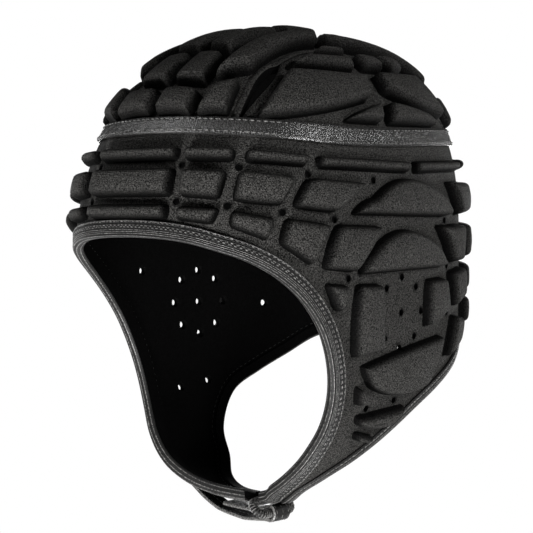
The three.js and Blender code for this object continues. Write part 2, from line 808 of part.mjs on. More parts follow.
// The chin loop lies in a plane that holds the head's front-to-back line and slopes down to the left
function loopFrame() {
  const tilt = THREE.MathUtils.degToRad(loopTilt);
  const chin = jawPoint(strapLoopX() / halfWidth, loopSeatAlong);
  const top = new THREE.Vector3(strapLoopX(), loopCentreY, chin.z);
  const down = new THREE.Vector3(Math.cos(tilt), 0, -Math.sin(tilt));
  return { top, down };
}

function loopSolid() {
  const { top, down } = loopFrame();
  const across = new THREE.Vector3(0, 1, 0);
  const halfLong = (loopLength - loopCord) / 2;
  const bend = (loopHeight - loopCord) / 2;
  const outline = [];
  for (const end of [-1, 1]) {
    for (let i = 0; i <= loopBendSteps; i += 1) {
      const angle = Math.PI * i / loopBendSteps;
      const along = end * (halfLong - bend + bend * Math.sin(angle));
      const drop = bend * (1 + end * Math.cos(angle));
      outline.push(top.clone().addScaledVector(across, along).addScaledVector(down, drop));
    }
  }
  const count = outline.length;
  const normal = across.clone().cross(down);
  const points = [];
  const faces = [];
  for (let i = 0; i < count; i += 1) {
    const before = outline[(i + count - 1) % count];
    const after = outline[(i + 1) % count];
    const outward = after.clone().sub(before).normalize().cross(normal);
    for (let j = 0; j < loopSides; j += 1) {
      const angle = 2 * Math.PI * j / loopSides;
      points.push(outline[i].clone()
        .addScaledVector(outward, loopCord / 2 * Math.cos(angle))
        .addScaledVector(normal, loopCord / 2 * Math.sin(angle)));
    }
  }
  for (let i = 0; i < count; i += 1) {
    const next = (i + 1) % count;
    for (let j = 0; j < loopSides; j += 1) {
      const over = (j + 1) % loopSides;
      const here = i * loopSides;
      const there = next * loopSides;
      faces.push([here + j, there + j, there + over], [here + j, there + over, here + over]);
    }
  }
  return toSolid(points, faces);
}

// Plan depth under the jaw of a place given by its distance behind the mount
function jawDepthAt(y) {
  return y - crownSetBack * ((jawDepth / crownHeight) ** 2 - 1);
}

// Hook tab: from under the right flap's end, through the loop, round its lower bar and back outside.
// It lies straight across the chin and is clear of the wall at its own rear edge
function strapSolid() {
  const { top, down } = loopFrame();
  const bar = top.clone().addScaledVector(down, loopHeight - loopCord);
  const turnRadius = loopCord / 2 + strapGap + strapThickness / 2;
  const outerLift = turnRadius + strapThickness + strapGap;
  const centre = [];
  const depth = jawDepthAt(loopCentreY + strapWidth / 2);
  const onChin = (x, lift) => {
    const height = -levelOf(planRing(x / halfWidth, depth / frontReach)) * jawDepth;
    const spot = seat(x, depth, height).addScaledVector(formNormal(x, depth, height), lift);
    return new THREE.Vector2(spot.x, spot.z);
  };
  const barSpot = new THREE.Vector2(bar.x, bar.z);
  for (let i = 0; i <= strapRunSteps; i += 1) {
    centre.push(onChin(strapStart + (rightTipEnd - strapStart) * i / strapRunSteps, turnRadius));
  }
  for (let i = 0; i <= strapTurnSteps; i += 1) {
    const turned = strapTurnStart + (strapTurnEnd - strapTurnStart) * i / strapTurnSteps;
    const angle = THREE.MathUtils.degToRad(turned);
    centre.push(new THREE.Vector2(Math.cos(angle), Math.sin(angle)).multiplyScalar(turnRadius).add(barSpot));
  }
  const returnSteps = strapRunSteps + 2;
  const returnStart = rightTipEnd - strapPull;
  for (let i = 0; i <= returnSteps; i += 1) {
    const share = i / returnSteps;
    const x = returnStart + (strapReturn - returnStart) * share;
    centre.push(onChin(x, outerLift + strapSlack * (1 - share) ** 2));
  }
  const left = [];
  const right = [];
  centre.forEach((spot, i) => {
    const before = centre[Math.max(0, i - 1)];
    const after = centre[Math.min(centre.length - 1, i + 1)];
    const along = after.clone().sub(before).normalize();
    const side = new THREE.Vector2(-along.y, along.x).multiplyScalar(strapThickness / 2);
    left.push(spot.clone().add(side));
    right.push(spot.clone().sub(side));
  });
  const shape = new THREE.Shape([...left, ...right.reverse()]);
  const geometry = new THREE.ExtrudeGeometry(shape, { depth: strapWidth, bevelEnabled: false });
  geometry.applyMatrix4(new THREE.Matrix4().makeBasis(
    new THREE.Vector3(1, 0, 0),
    new THREE.Vector3(0, 0, 1),
    new THREE.Vector3(0, -1, 0),
  ));
  geometry.translate(0, loopCentreY + strapWidth / 2, 0);
  return geometrySolid(geometry);
}

function finish(color, roughness) {
  return new THREE.MeshStandardMaterial({ color, roughness, metalness: 0 });
}

const finishes = {
  foam: finish(0x1b1b1c, 0.85),
  webbing: finish(0x232324, 0.55),
  edging: finish(0x1e1e1f, 0.7),
  cord: finish(0x202021, 0.65),
};

const group = new THREE.Group();

function addPiece(name, solid, material) {
  const { vertProperties, triVerts } = solid.getMesh();
  const geometry = new THREE.BufferGeometry();
  geometry.setAttribute("position", new THREE.BufferAttribute(new Float32Array(vertProperties), 3));
  geometry.setIndex(new THREE.BufferAttribute(new Uint32Array(triVerts), 1));
  const mesh = new THREE.Mesh(geometry, material);
  mesh.name = name;
  group.add(mesh);
}

const crown = crownPanels();
addPiece("lower_shell", lowerShell(), finishes.foam);
addPiece("crown_strip", crown.strip, finishes.foam);
addPiece("crown_side_left", crown.left, finishes.foam);
addPiece("crown_side_right", crown.right, finishes.foam);
addPiece("crown_tape", tapeSolid(), finishes.webbing);
addPiece("face_binding", bindingSolid(wholeFaceEdge, browBindingWidth), finishes.edging);
addPiece("nape_binding", bindingSolid(wholeNapeEdge, napeBindingWidth), finishes.edging);
addPiece("strap_loop", loopSolid(), finishes.cord);
addPiece("chin_strap", strapSolid(), finishes.webbing);

export default group;
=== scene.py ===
import math
import bpy
import bmesh
import numpy as np
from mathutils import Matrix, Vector
from mathutils.geometry import delaunay_2d_cdt


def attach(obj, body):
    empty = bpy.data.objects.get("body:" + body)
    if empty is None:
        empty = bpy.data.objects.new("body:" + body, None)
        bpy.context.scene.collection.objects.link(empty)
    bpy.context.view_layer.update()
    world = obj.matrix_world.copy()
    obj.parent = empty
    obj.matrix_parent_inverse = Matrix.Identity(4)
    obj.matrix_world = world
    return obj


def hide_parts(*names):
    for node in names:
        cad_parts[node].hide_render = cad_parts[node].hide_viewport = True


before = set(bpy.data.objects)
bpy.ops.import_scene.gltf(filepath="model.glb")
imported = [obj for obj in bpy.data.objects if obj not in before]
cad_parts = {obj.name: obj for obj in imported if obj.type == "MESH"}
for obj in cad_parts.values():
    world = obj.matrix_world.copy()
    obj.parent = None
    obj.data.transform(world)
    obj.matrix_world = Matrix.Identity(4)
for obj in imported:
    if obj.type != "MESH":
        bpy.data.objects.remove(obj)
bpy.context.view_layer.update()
mm = 0.001  # every size below is in millimetres, every mesh in metres
rng = np.random.default_rng(7)

# The head form that the cloth lies on; the same sizes as the solids'
headForm = {
    "halfWidth": 71.5,
    "frontReach": 81.0,
    "backReach": 126.0,
    "crownHeight": 108.0,
    "jawDepth": 118.5,
    "crownSetBack": 21.0,
    "planRoundness": 2.75,
    "sideRoundness": 2.6,
    "wall": 2.6,
    "tapeLevel": 62.1,
    "tapeDip": 2.2,
}


def signedPower(value, power):
    return np.sign(value) * np.abs(value) ** power


def setBack(height):
    # how far the form leans from its plan at a height
    return headForm["crownSetBack"] * ((height / headForm["crownHeight"]) ** 2 - 1)


def seat(x, depth, height):
    # from the form's own heights to the frame's, whose zero lies under the cloth at the crown
    return np.stack([x, depth + setBack(height), height - headForm["crownHeight"] + headForm["wall"]], -1)


def ringOf(level):
    p = headForm["sideRoundness"]
    return np.maximum(0, 1 - np.abs(level) ** p) ** (1 / p)


def planRing(across, along):
    n = headForm["planRoundness"]
    return (np.abs(across) ** n + np.abs(along) ** n) ** (1 / n)


def reachAt(depth):
    return np.where(depth < 0, headForm["frontReach"], headForm["backReach"])


def tallAt(height):
    return np.where(height > 0, headForm["crownHeight"], headForm["jawDepth"])


def planShare(x, depth):
    return planRing(x / headForm["halfWidth"], depth / reachAt(depth))


def formSlope(x, depth, height):
    # value of the form at a plan position and height, and its gradient; 1 on the cloth's outer face
    h = headForm
    n, p = h["planRoundness"], h["sideRoundness"]
    reach, tall = reachAt(depth), tallAt(height)
    ring = planShare(x, depth)
    pull = p * np.maximum(ring, 1e-6) ** (p - n)
    gx = pull * signedPower(x / h["halfWidth"], n - 1) / h["halfWidth"]
    gy = pull * signedPower(depth / reach, n - 1) / reach
    gz = p * signedPower(height / tall, p - 1) / tall
    lean = 2 * h["crownSetBack"] * height / h["crownHeight"] ** 2
    return ring ** p + np.abs(height / tall) ** p, np.stack([gx, gy, gz - gy * lean], axis=-1)


def unit(vectors):
    return vectors / np.maximum(np.linalg.norm(vectors, axis=-1, keepdims=True), 1e-9)


def ringTangents(path):
    # directions along a closed path
    return unit(np.roll(path, -1, axis=0) - np.roll(path, 1, axis=0))


def box(left, low, right, high):
    return [(left, low), (right, low), (right, high), (left, high)]


def alongLengths(path):
    # the length run so far at each point of a path
    return np.concatenate([[0], np.cumsum(np.linalg.norm(np.diff(path, axis=0), axis=1))])


def pickAlong(marks, lengths, values):
    return np.stack([np.interp(marks, lengths, column) for column in values.T], axis=1)


def lifted(x, depth, height, lift):
    normal = unit(formSlope(x, depth, height)[1])
    return seat(x, depth, height) + normal * np.asarray(lift)[..., None]


def bandChart(spots, lift=0.0):
    # azimuth in degrees from the brow and level as a share of crown height or jaw depth
    turn, level = np.radians(spots[..., 0]), spots[..., 1]
    sine, cosine = np.sin(turn), np.cos(turn)
    n = headForm["planRoundness"]
    across, along = np.abs(sine / headForm["halfWidth"]), np.abs(cosine / reachAt(-cosine))
    out = ringOf(level) * (across ** n + along ** n) ** (-1 / n)
    return lifted(out * sine, -out * cosine, level * tallAt(level), lift * np.ones_like(level))


def sideChart(spots, lift=0.0):
    # azimuth in degrees and the share of the plan outline, on the crown
    return bandChart(np.stack([spots[..., 0], ringOf(spots[..., 1])], axis=-1), lift)


def stripChart(spots, lift=0.0):
    # shares of the half width and of the front or back reach, on the crown
    across, along = spots[..., 0], spots[..., 1]
    height = ringOf(planRing(across, along)) * headForm["crownHeight"]
    x, depth = across * headForm["halfWidth"], along * reachAt(along)
    return lifted(x, depth, height, lift * np.ones_like(across))


def ontoForm(points):
    # nearest points of the form to points close by, with their normals
    spots = np.array(points, float)
    for _ in range(4):
        height = spots[:, 2] + headForm["crownHeight"] - headForm["wall"]
        value, slope = formSlope(spots[:, 0], spots[:, 1] - setBack(height), height)
        spots += slope * ((1 - value) / (slope ** 2).sum(-1))[:, None]
    return spots, unit(slope)


# Meshes


def addObject(name, data):
    made = bpy.data.objects.new(name, data)
    bpy.context.scene.collection.objects.link(made)
    return made


def makePiece(name, points, faces):
    mesh = bpy.data.meshes.new(name)
    faces = [tuple(int(i) for i in face) for face in faces]
    mesh.from_pydata((np.asarray(points) * mm).tolist(), [], faces)
    mesh.update()
    piece = addObject(name, mesh)
    if meshVolume(mesh) < 0:
        mesh.flip_normals()
    return piece


def readVectors(items, field, kind=float):
    values = np.zeros(len(items) * 3, dtype=kind)
    items.foreach_get(field, values)
    return values.reshape(-1, 3)


def meshVolume(mesh):
    mesh.calc_loop_triangles()
    corners = readVectors(mesh.loop_triangles, "vertices", np.int32)
    places = readVectors(mesh.vertices, "co")
    a, b, c = (places[corners[:, i]] for i in range(3))
    return float(np.einsum("ij,ij->i", a, np.cross(b, c)).sum() / 6)


def applyModifiers(piece):
    graph = bpy.context.evaluated_depsgraph_get()
    result = bpy.data.meshes.new_from_object(piece.evaluated_get(graph))
    piece.modifiers.clear()
    old = piece.data
    piece.data = result
    bpy.data.meshes.remove(old)


def combine(piece, other, operation):
    # join, cut or keep the common part of two closed meshes, and drop the second
    modifier = piece.modifiers.new("combine", "BOOLEAN")
    modifier.operation = operation
    modifier.solver = "MANIFOLD"
    modifier.object = other
    applyModifiers(piece)
    bpy.data.objects.remove(other)
    return piece


def ringFaces(rings, count, base=0):
    # quads between successive rings of count points each, the first of them at base
    starts = [base + r * count for r in range(rings - 1)]
    return [(a + i, a + (i + 1) % count, a + count + (i + 1) % count, a + count + i)
            for a in starts for i in range(count)]


def capFaces(first, last, count):
    # the two ends of a swept form, from the start of its first ring and of its last
    return [tuple(reversed(range(first, first + count))), tuple(range(last, last + count))]


def finishShading(piece, angle):
    # smooth faces with creases kept where two faces meet at more than the angle
    mesh = piece.data
    mesh.polygons.foreach_set("use_smooth", [True] * len(mesh.polygons))
    work = bmesh.new()
    work.from_mesh(mesh)
    bmesh.ops.remove_doubles(work, verts=work.verts, dist=0.02 * mm)
    limit = math.radians(angle)
    for edge in work.edges:
        edge.smooth = len(edge.link_faces) == 2 and edge.calc_face_angle(0) < limit
    work.to_mesh(mesh)
    work.free()
    mesh.update()


def coat(piece, angle, name):
    # one finish all over, shaded with the creases over an angle kept
    finishShading(piece, angle)
    piece.data.materials.append(materials[name])
    return piece


# Foam pads

padShape = {
    "pitch": 1.5,         # spacing of the points round an outline
    "fine": 0.4,          # spacing while an outline is being shaped
    "grid": 2.5,          # spacing of the points on a top
    "gridInset": 3.94,    # how far that grid keeps from the outline
    "cornerRound": 1.2,   # how softly the corners turn
    "crown": 1.0,         # how far the middle of a top stands over its shoulders
    "crownShare": 0.09,   # the most of that, as a share of a pad's depth from its edge
    "heldRim": 2.2,       # how much of a top's rim stays down
    "spread": 0.03,       # how unlike the pads' heights are, as a share
    "root": 1.3,          # how deep a pad's foot goes into the wall
    "ventRelief": 3.0,    # how far an outline keeps from a vent
    "rounds": 220,        # rounds in which a top's skin settles
    "foot": [(-0.9, -0.06), (-0.3, 0.03), (0.05, 0.2), (0.35, 0.5)],
    "shoulder": [(0.35, 0.5), (0.8, 0.74), (1.45, 0.9), (2.3, 0.98), (3.2, 1.0)],
}


def chartScale(chart, centre):
    # millimetres for a step of a chart, whose first axis runs in degrees or in shares
    across = 0.5 if abs(centre[0]) > 2 else 0.004
    step = np.array([[across, 0.0], [0.0, 0.004]])
    return np.linalg.norm(chart(centre + step) - chart(centre - step), axis=1) / (2 * step.sum(1))


def resampleLoop(loop, pitch):
    closed = np.vstack([loop, loop[:1]])
    lengths = alongLengths(closed)
    count = max(16, int(round(lengths[-1] / pitch)))
    return pickAlong(np.linspace(0, lengths[-1], count, endpoint=False), lengths, closed)


def padOutline(corners, bows, scale, centre, vents):
    flat = (corners - centre) * scale
    turn = np.sign(signedArea(flat))
    pitch, relief, rounding = padShape["fine"], padShape["ventRelief"], padShape["cornerRound"]
    loop = []
    for a, b, bow in zip(flat, np.roll(flat, -1, axis=0), bows):
        length = max(np.linalg.norm(b - a), 0.1)
        outward = np.array([(b - a)[1], -(b - a)[0]]) / length * turn
        steps = max(2, int(length / pitch))
        t = np.arange(steps) / steps
        loop.append(a + (b - a) * t[:, None] + outward * (4 * bow * t * (1 - t))[:, None])
    fine = resampleLoop(np.vstack(loop), pitch)
    for vent in vents:
        away = fine - (np.array(vent) - centre) * scale
        gap = np.linalg.norm(away, axis=1)
        near = (gap < relief) & (gap > 0.01)
        fine[near] += away[near] * (relief / gap[near] - 1)[:, None]
    reach = int(3 * rounding / pitch)
    steps = np.arange(-reach, reach + 1)
    weights = np.exp(-0.5 * (steps * pitch / rounding) ** 2)
    smooth = sum(w * np.roll(fine, -s, axis=0) for w, s in zip(weights / weights.sum(), steps))
    loop = resampleLoop(smooth, padShape["pitch"])
    return loop if signedArea(loop) > 0 else loop[::-1]


def swell(spots, triangles, held):
    # height of a skin blown up over the triangles, 1 at its highest point, with some points held down
    sides = np.vstack([triangles[:, [0, 1]], triangles[:, [1, 2]], triangles[:, [2, 0]]])
    a, b = np.unique(np.sort(sides, axis=1), axis=0).T
    weights = 1 / np.maximum(np.linalg.norm(spots[a] - spots[b], axis=1), 0.1) ** 2
    count = len(spots)
    total = np.bincount(a, weights, count) + np.bincount(b, weights, count)
    height = np.zeros(count)
    for _ in range(padShape["rounds"]):
        height = np.bincount(a, weights * height[b], count) + np.bincount(b, weights * height[a], count) + 1
        height = np.where(held, 0, height / np.maximum(total, 1e-6))
    return height / max(height.max(), 1e-6)


def gridInside(outline, grid):
    # points of a triangular grid that lie inside an outline
    low, high, rowShare = outline.min(0), outline.max(0), 0.87
    spread = np.array([(low[0] + (i + 0.5 * (j % 2)) * grid, low[1] + j * grid * rowShare)
                       for j in range(int((high[1] - low[1]) / (grid * rowShare)) + 2)
                       for i in range(int((high[0] - low[0]) / grid) + 2)])
    crossings = np.zeros(len(spread), int)
    for p, q in zip(outline, np.roll(outline, -1, axis=0)):
        spans = (p[1] > spread[:, 1]) != (q[1] > spread[:, 1])
        share = (spread[:, 1] - p[1]) / ((q[1] - p[1]) or 1e-9)
        crossings += spans & (spread[:, 0] < p[0] + (q[0] - p[0]) * share)
    return spread[crossings % 2 == 1]


def padMesh(corners, bows, rise, chart, vents, points, faces):
    shape = padShape
    corners = np.array(corners, float)
    centre = corners.mean(0)
    scale = chartScale(chart, centre)
    outline = padOutline(corners, bows, scale, centre, vents)
    side = np.roll(outline, -1, axis=0) - np.roll(outline, 1, axis=0)
    inward = unit(np.stack([-side[:, 1], side[:, 0]], axis=1))
    rise = rise * rng.uniform(1 - shape["spread"], 1 + shape["spread"])
    base, count = len(points), len(outline)
    rings = [(outline, -shape["root"])]
    rings += [(outline + inward * inset, share * rise) for inset, share in shape["foot"]]
    for ring, lift in rings:
        points.extend(chart(centre + ring / scale, lift))
    faces.extend(ringFaces(len(rings), count, base))
    hub = len(points)
    points.append(chart(centre + outline.mean(0) / scale, -shape["root"]))
    faces.extend([(base + (i + 1) % count, base + i, hub) for i in range(count)])

    # the top: rings at the shoulder's steps and a grid within, joined by triangles
    groups = [(outline + inward * inset, inset - 0.06) for inset, _ in shape["shoulder"][1:]]
    groups.append((gridInside(outline, shape["grid"]), shape["gridInset"]))
    edge = resampleLoop(outline, 0.5)
    spots, depth = [rings[-1][0]], [np.full(count, shape["foot"][-1][0])]
    for group, least in groups:
        if len(group):
            away = np.linalg.norm(group[:, None] - edge[None], axis=2).min(1)
            spots.append(group[away > least])
            depth.append(away[away > least])
    spots, depth = np.vstack(spots), np.concatenate(depth)
    rim = [(i, (i + 1) % count) for i in range(count)]
    triangles = np.array(delaunay_2d_cdt([Vector(s) for s in spots], rim, [], 1, 1e-5)[2])
    a, b, c = (spots[triangles[:, k]] for k in range(3))
    turn = (b[:, 0] - a[:, 0]) * (c[:, 1] - a[:, 1]) - (b[:, 1] - a[:, 1]) * (c[:, 0] - a[:, 0])
    triangles[turn < 0] = triangles[turn < 0][:, ::-1]
    crown = min(shape["crown"], depth.max() * shape["crownShare"])
    held = depth < min(shape["heldRim"], depth.max() * 0.5)
    lift = rise * np.interp(depth, *zip(*shape["shoulder"])) + crown * swell(spots, triangles, held)
    top = len(points)
    points.extend(chart(centre + spots[count:] / scale, lift[count:]))
    rimStart = base + (len(rings) - 1) * count
    joined = np.concatenate([rimStart + np.arange(count), np.arange(top, len(points))])
    faces.extend([tuple(t) for t in joined[triangles]])


def signedArea(loop):
    after = np.roll(loop, -1, axis=0)
    return float((loop[:, 0] * after[:, 1] - loop[:, 1] * after[:, 0]).sum() / 2)


def mirrored(rows, axis):
    # the same pads on the other side of a chart's centre line
    flipped = []
    for row in rows:
        corners = [tuple(-v if k == axis else v for k, v in enumerate(corner)) for corner in row[0]]
        flipped.append((corners, *row[1:]))
    return flipped


def padField(rows, chart, vents=()):
    # each row is a pad: its corners, its rise and, where its sides aren't straight, how far each bows
    points, faces = [], []
    for corners, rise, *bows in rows:
        padMesh(corners, bows[0] if bows else (0, 0, 0, 0), rise, chart, vents, points, faces)
    return makePiece("pads", np.array(points), faces)


# Wall of cloth


def tapeHeight(azimuth):
    return headForm["tapeLevel"] + headForm["tapeDip"] * np.cos(2 * np.radians(azimuth))


def wallShell(name, rimOffset, pole, rows, columns):
    # closed shell between the cloth's two faces, from the webbing's line to a pole
    levels = evenLevels(headForm["tapeLevel"] / headForm["crownHeight"], pole, rows)
    azimuths = np.linspace(0, 360, columns, endpoint=False)
    rim = (tapeHeight(azimuths) + rimOffset) / headForm["crownHeight"]
    points, faces = [], []
    skin = rows * columns + 1
    for lift in (0.0, -headForm["wall"]):
        for level in (rim, *[np.full(columns, level) for level in levels[1:-1]]):
            points.extend(bandChart(np.stack([azimuths, level], axis=1), lift))
        points.append(bandChart(np.array([0.0, levels[-1]]), lift))
    for base in (0, skin):
        new = ringFaces(rows, columns, base)
        last = base + (rows - 1) * columns
        new += [(last + i, last + (i + 1) % columns, base + skin - 1) for i in range(columns)]
        faces += new if base == 0 else [tuple(reversed(face)) for face in new]
    faces += [(i, skin + i, skin + (i + 1) % columns, (i + 1) % columns) for i in range(columns)]
    return makePiece(name, np.array(points), faces)


def evenLevels(start, end, count):
    # levels at even steps along the side outline
    p = headForm["sideRoundness"]
    angle = np.linspace(np.arcsin(signedPower(start, p / 2)), np.arcsin(signedPower(end, p / 2)), 800)
    levels = signedPower(np.sin(angle), 2 / p)
    levels[0], levels[-1] = start, end
    tall, wide = headForm["crownHeight"], headForm["halfWidth"]
    lengths = alongLengths(np.stack([levels * tall, ringOf(levels) * wide], axis=1))
    return np.interp(np.linspace(0, lengths[-1], count + 1), lengths, levels)


# Edges of the openings

faceEdge = [
    (0, 0.128), (23, 0.11), (34, 0.074), (44, 0.028), (54, -0.042), (63, -0.135),
    (70, -0.253), (73.5, -0.397), (73, -0.515), (69, -0.63), (61, -0.74), (48, -0.855),
]
napeEdge = [(180, -0.3), (165, -0.325), (154, -0.38), (146, -0.455), (136, -0.53), (124, -0.61)]
leftTipFront = [(0.4, -0.45), (0.3, -0.41), (0.2, -0.385)]
leftTipRear = [(0.74, 0.01), (0.655, -0.17), (0.54, -0.265), (0.38, -0.235), (0.29, -0.19), (0.2, -0.175)]
rightTipFront = [(-0.4, -0.455), (-0.25, -0.445), (-0.05, -0.43), (0.112, -0.42)]
rightTipRear = [(-0.76, 0.16), (-0.6, 0.07), (-0.42, -0.06), (-0.25, -0.15), (-0.08, -0.2), (0.112, -0.21)]


def jawPoints(rows):
    # places under the jaw from shares of the half width and of the reach
    across, along = np.array(rows, float).T
    height = -ringOf(planRing(across, along)) * headForm["jawDepth"]
    return seat(across * headForm["halfWidth"], along * reachAt(along), height)


def bandPoints(rows):
    return bandChart(np.array(rows, float))


def smoothPath(points, pitch):
    # centripetal spline through the points, resampled at an even pitch
    points = np.asarray(points, float)
    ends = np.vstack([2 * points[0] - points[1], points, 2 * points[-1] - points[-2]])
    fine = []
    for i in range(len(points) - 1):
        p = ends[i:i + 4]
        gaps = np.maximum(np.linalg.norm(np.diff(p, axis=0), axis=1) ** 0.5, 1e-4)
        u = np.concatenate([[0], np.cumsum(gaps)])
        t = np.linspace(u[1], u[2], 24, endpoint=False)[:, None]
        for width in (1, 2):
            p = [((u[k + width] - t) * p[k] + (t - u[k]) * p[k + 1]) / (u[k + width] - u[k])
                 for k in range(4 - width)]
        fine.append(((u[2] - t) * p[0] + (t - u[1]) * p[1]) / (u[2] - u[1]))
    return evenPath(np.vstack(fine + [points[-1:]]), pitch)


def evenPath(path, pitch):
    lengths = alongLengths(path)
    count = max(2, int(round(lengths[-1] / pitch)))
    return pickAlong(np.linspace(0, lengths[-1], count + 1), lengths, path)


def edgeFrames(path):
    points, normals = ontoForm(path)
    tangents = unit(np.gradient(points, axis=0))
    inward = unit(np.cross(normals, tangents))
    return points, normals, tangents, inward


def edgePaths(pitch):
    face = np.vstack([
        jawPoints(rightTipFront[::-1]),
        bandPoints([(-a, b) for a, b in faceEdge[:0:-1]]),
        bandPoints(faceEdge),
        jawPoints(leftTipFront),
    ])
    nape = np.vstack([
        jawPoints(leftTipRear[::-1]),
        bandPoints(napeEdge[::-1]),
        bandPoints([(360 - a, b) for a, b in napeEdge[1:]]),
        jawPoints(rightTipRear),
    ])
    return smoothPath(face, pitch), smoothPath(nape, pitch)


def sweep(name, frames, section, closed=False):
    # closed section, given as (inward, outward) sizes, carried along the frames
    points, normals, _, inward = frames
    across, out = np.array(section, float).T[:, None, :, None]
    places = points[:, None] + inward[:, None] * across + normals[:, None] * out
    count = len(section)
    faces = ringFaces(len(points), count)
    last = (len(points) - 1) * count
    if closed:
        faces += [(last + i, last + (i + 1) % count, (i + 1) % count, i) for i in range(count)]
    else:
        faces += capFaces(0, last, count)
    return makePiece(name, places.reshape(-1, 3), faces)


def prism(name, outline, axis, start, end):
    # straight block on an outline of (first, second) places, from start to end along an axis
    order = {"x": (2, 0, 1), "z": (0, 1, 2)}[axis]
    points = [[(*spot, level)[k] for k in order] for level in (start, end) for spot in outline]
    count = len(outline)
    return makePiece(name, points, ringFaces(2, count) + capFaces(0, count, count))


def openingBlock(path, side, fromX, toX, clearance=3, far=400):
    # what an opening takes away: all beyond its edge, seen from the side
    points, normals, tangents, _ = edgeFrames(path)
    edge = [(y, z) for _, y, z in points + np.cross(tangents, normals) * clearance]
    outline = [(side * far, edge[0][1]), *edge, (edge[-1][0], -far), (side * far, -far)]
    return prism("opening", outline, "x", fromX, toX)


print("forms ready")

# Materials


def feed(tree, node, inputs):
    # sets a node's inputs to values, or links them to sockets; a node stands for its first output
    for key, value in inputs.items():
        if isinstance(value, bpy.types.Node):
            value = value.outputs[0]
        if isinstance(value, bpy.types.NodeSocket):
            tree.links.new(value, node.inputs[key])
        else:
            node.inputs[key].default_value = value


def addNode(tree, kind, inputs=None, **settings):
    node = tree.nodes.new(kind)
    for name, value in settings.items():
        setattr(node, name, value)
    feed(tree, node, inputs or {})
    return node


def newMaterial(name):
    material = bpy.data.materials.new(name)
    material.use_nodes = True
    tree = material.node_tree
    tree.nodes.clear()
    shader = addNode(tree, "ShaderNodeBsdfPrincipled")
    addNode(tree, "ShaderNodeOutputMaterial", {"Surface": shader})
    return material, tree, shader


def addSockets(tree, way, kind, *names):
    for name in names:
        tree.interface.new_socket(name, in_out=way, socket_type="NodeSocket" + kind)


def clothGrain():
    # fine knit: rows of tiny loops, broken up by a random speckle, as height, shade and gloss masks
    group = bpy.data.node_groups.new("cloth grain", "ShaderNodeTree")
    addSockets(group, "INPUT", "Vector", "Vector")
    addSockets(group, "INPUT", "Float", "Loop Scale", "Speckle Scale")
    addSockets(group, "OUTPUT", "Float", "Height", "Speckle", "Shade")
    entry = addNode(group, "NodeGroupInput").outputs
    place = entry["Vector"]
    loops = addNode(group, "ShaderNodeTexVoronoi",
                    {"Vector": place, "Scale": entry["Loop Scale"], "Randomness": 0.55})
    speckle = addNode(group, "ShaderNodeTexNoise",
                      {"Vector": place, "Scale": entry["Speckle Scale"], "Detail": 2.0})
    shade = addNode(group, "ShaderNodeTexNoise", {"Vector": place, "Scale": 40.0, "Detail": 3.0})
    height = addNode(group, "ShaderNodeMath", {0: speckle, 1: loops}, operation="SUBTRACT")
    addNode(group, "NodeGroupOutput", {"Height": height, "Speckle": speckle, "Shade": shade})
    return group


grainGroup = clothGrain()

clothLooks = {
    # for padded cloth, the last value sets how strongly painted shade darkens the pads' steep flanks
    "paddedCloth": {"dark": (0.006, 0.0059, 0.0057), "light": (0.086, 0.084, 0.08), "rough": (0.6, 0.8),
                    "specular": 0.04, "bump": 1.8, "loop": 1200.0, "speckle": 1600.0, "paintedGrooveShade": 0.97},
    # near-black finish for the lining and for faces that lie in shade: real lining, made darker than the
    # cloth as painted shade
    "liningAndPaintedShade": {"dark": (0.0015, 0.0015, 0.0015), "light": (0.004, 0.004, 0.004), "rough": (0.85, 0.95),
               "specular": 0.02, "bump": 0.2, "loop": 1000.0, "speckle": 1500.0},
    "webbing": {"dark": (0.014, 0.0138, 0.0135), "light": (0.05, 0.049, 0.0475), "rough": (0.2, 0.27),
                "specular": 0.8, "bump": 0.48, "loop": 1600.0, "speckle": 1800.0},
    "edging": {"dark": (0.003, 0.0029, 0.0028), "light": (0.02, 0.0195, 0.0188), "rough": (0.45, 0.62),
               "specular": 0.25, "bump": 0.48, "loop": 1400.0, "speckle": 1800.0},
    "thread": {"dark": (0.006, 0.0059, 0.0057), "light": (0.24, 0.236, 0.228), "rough": (0.38, 0.52),
               "specular": 0.5, "sheen": 0.05, "bump": 0.24, "loop": 2200.0, "speckle": 1150.0},
}


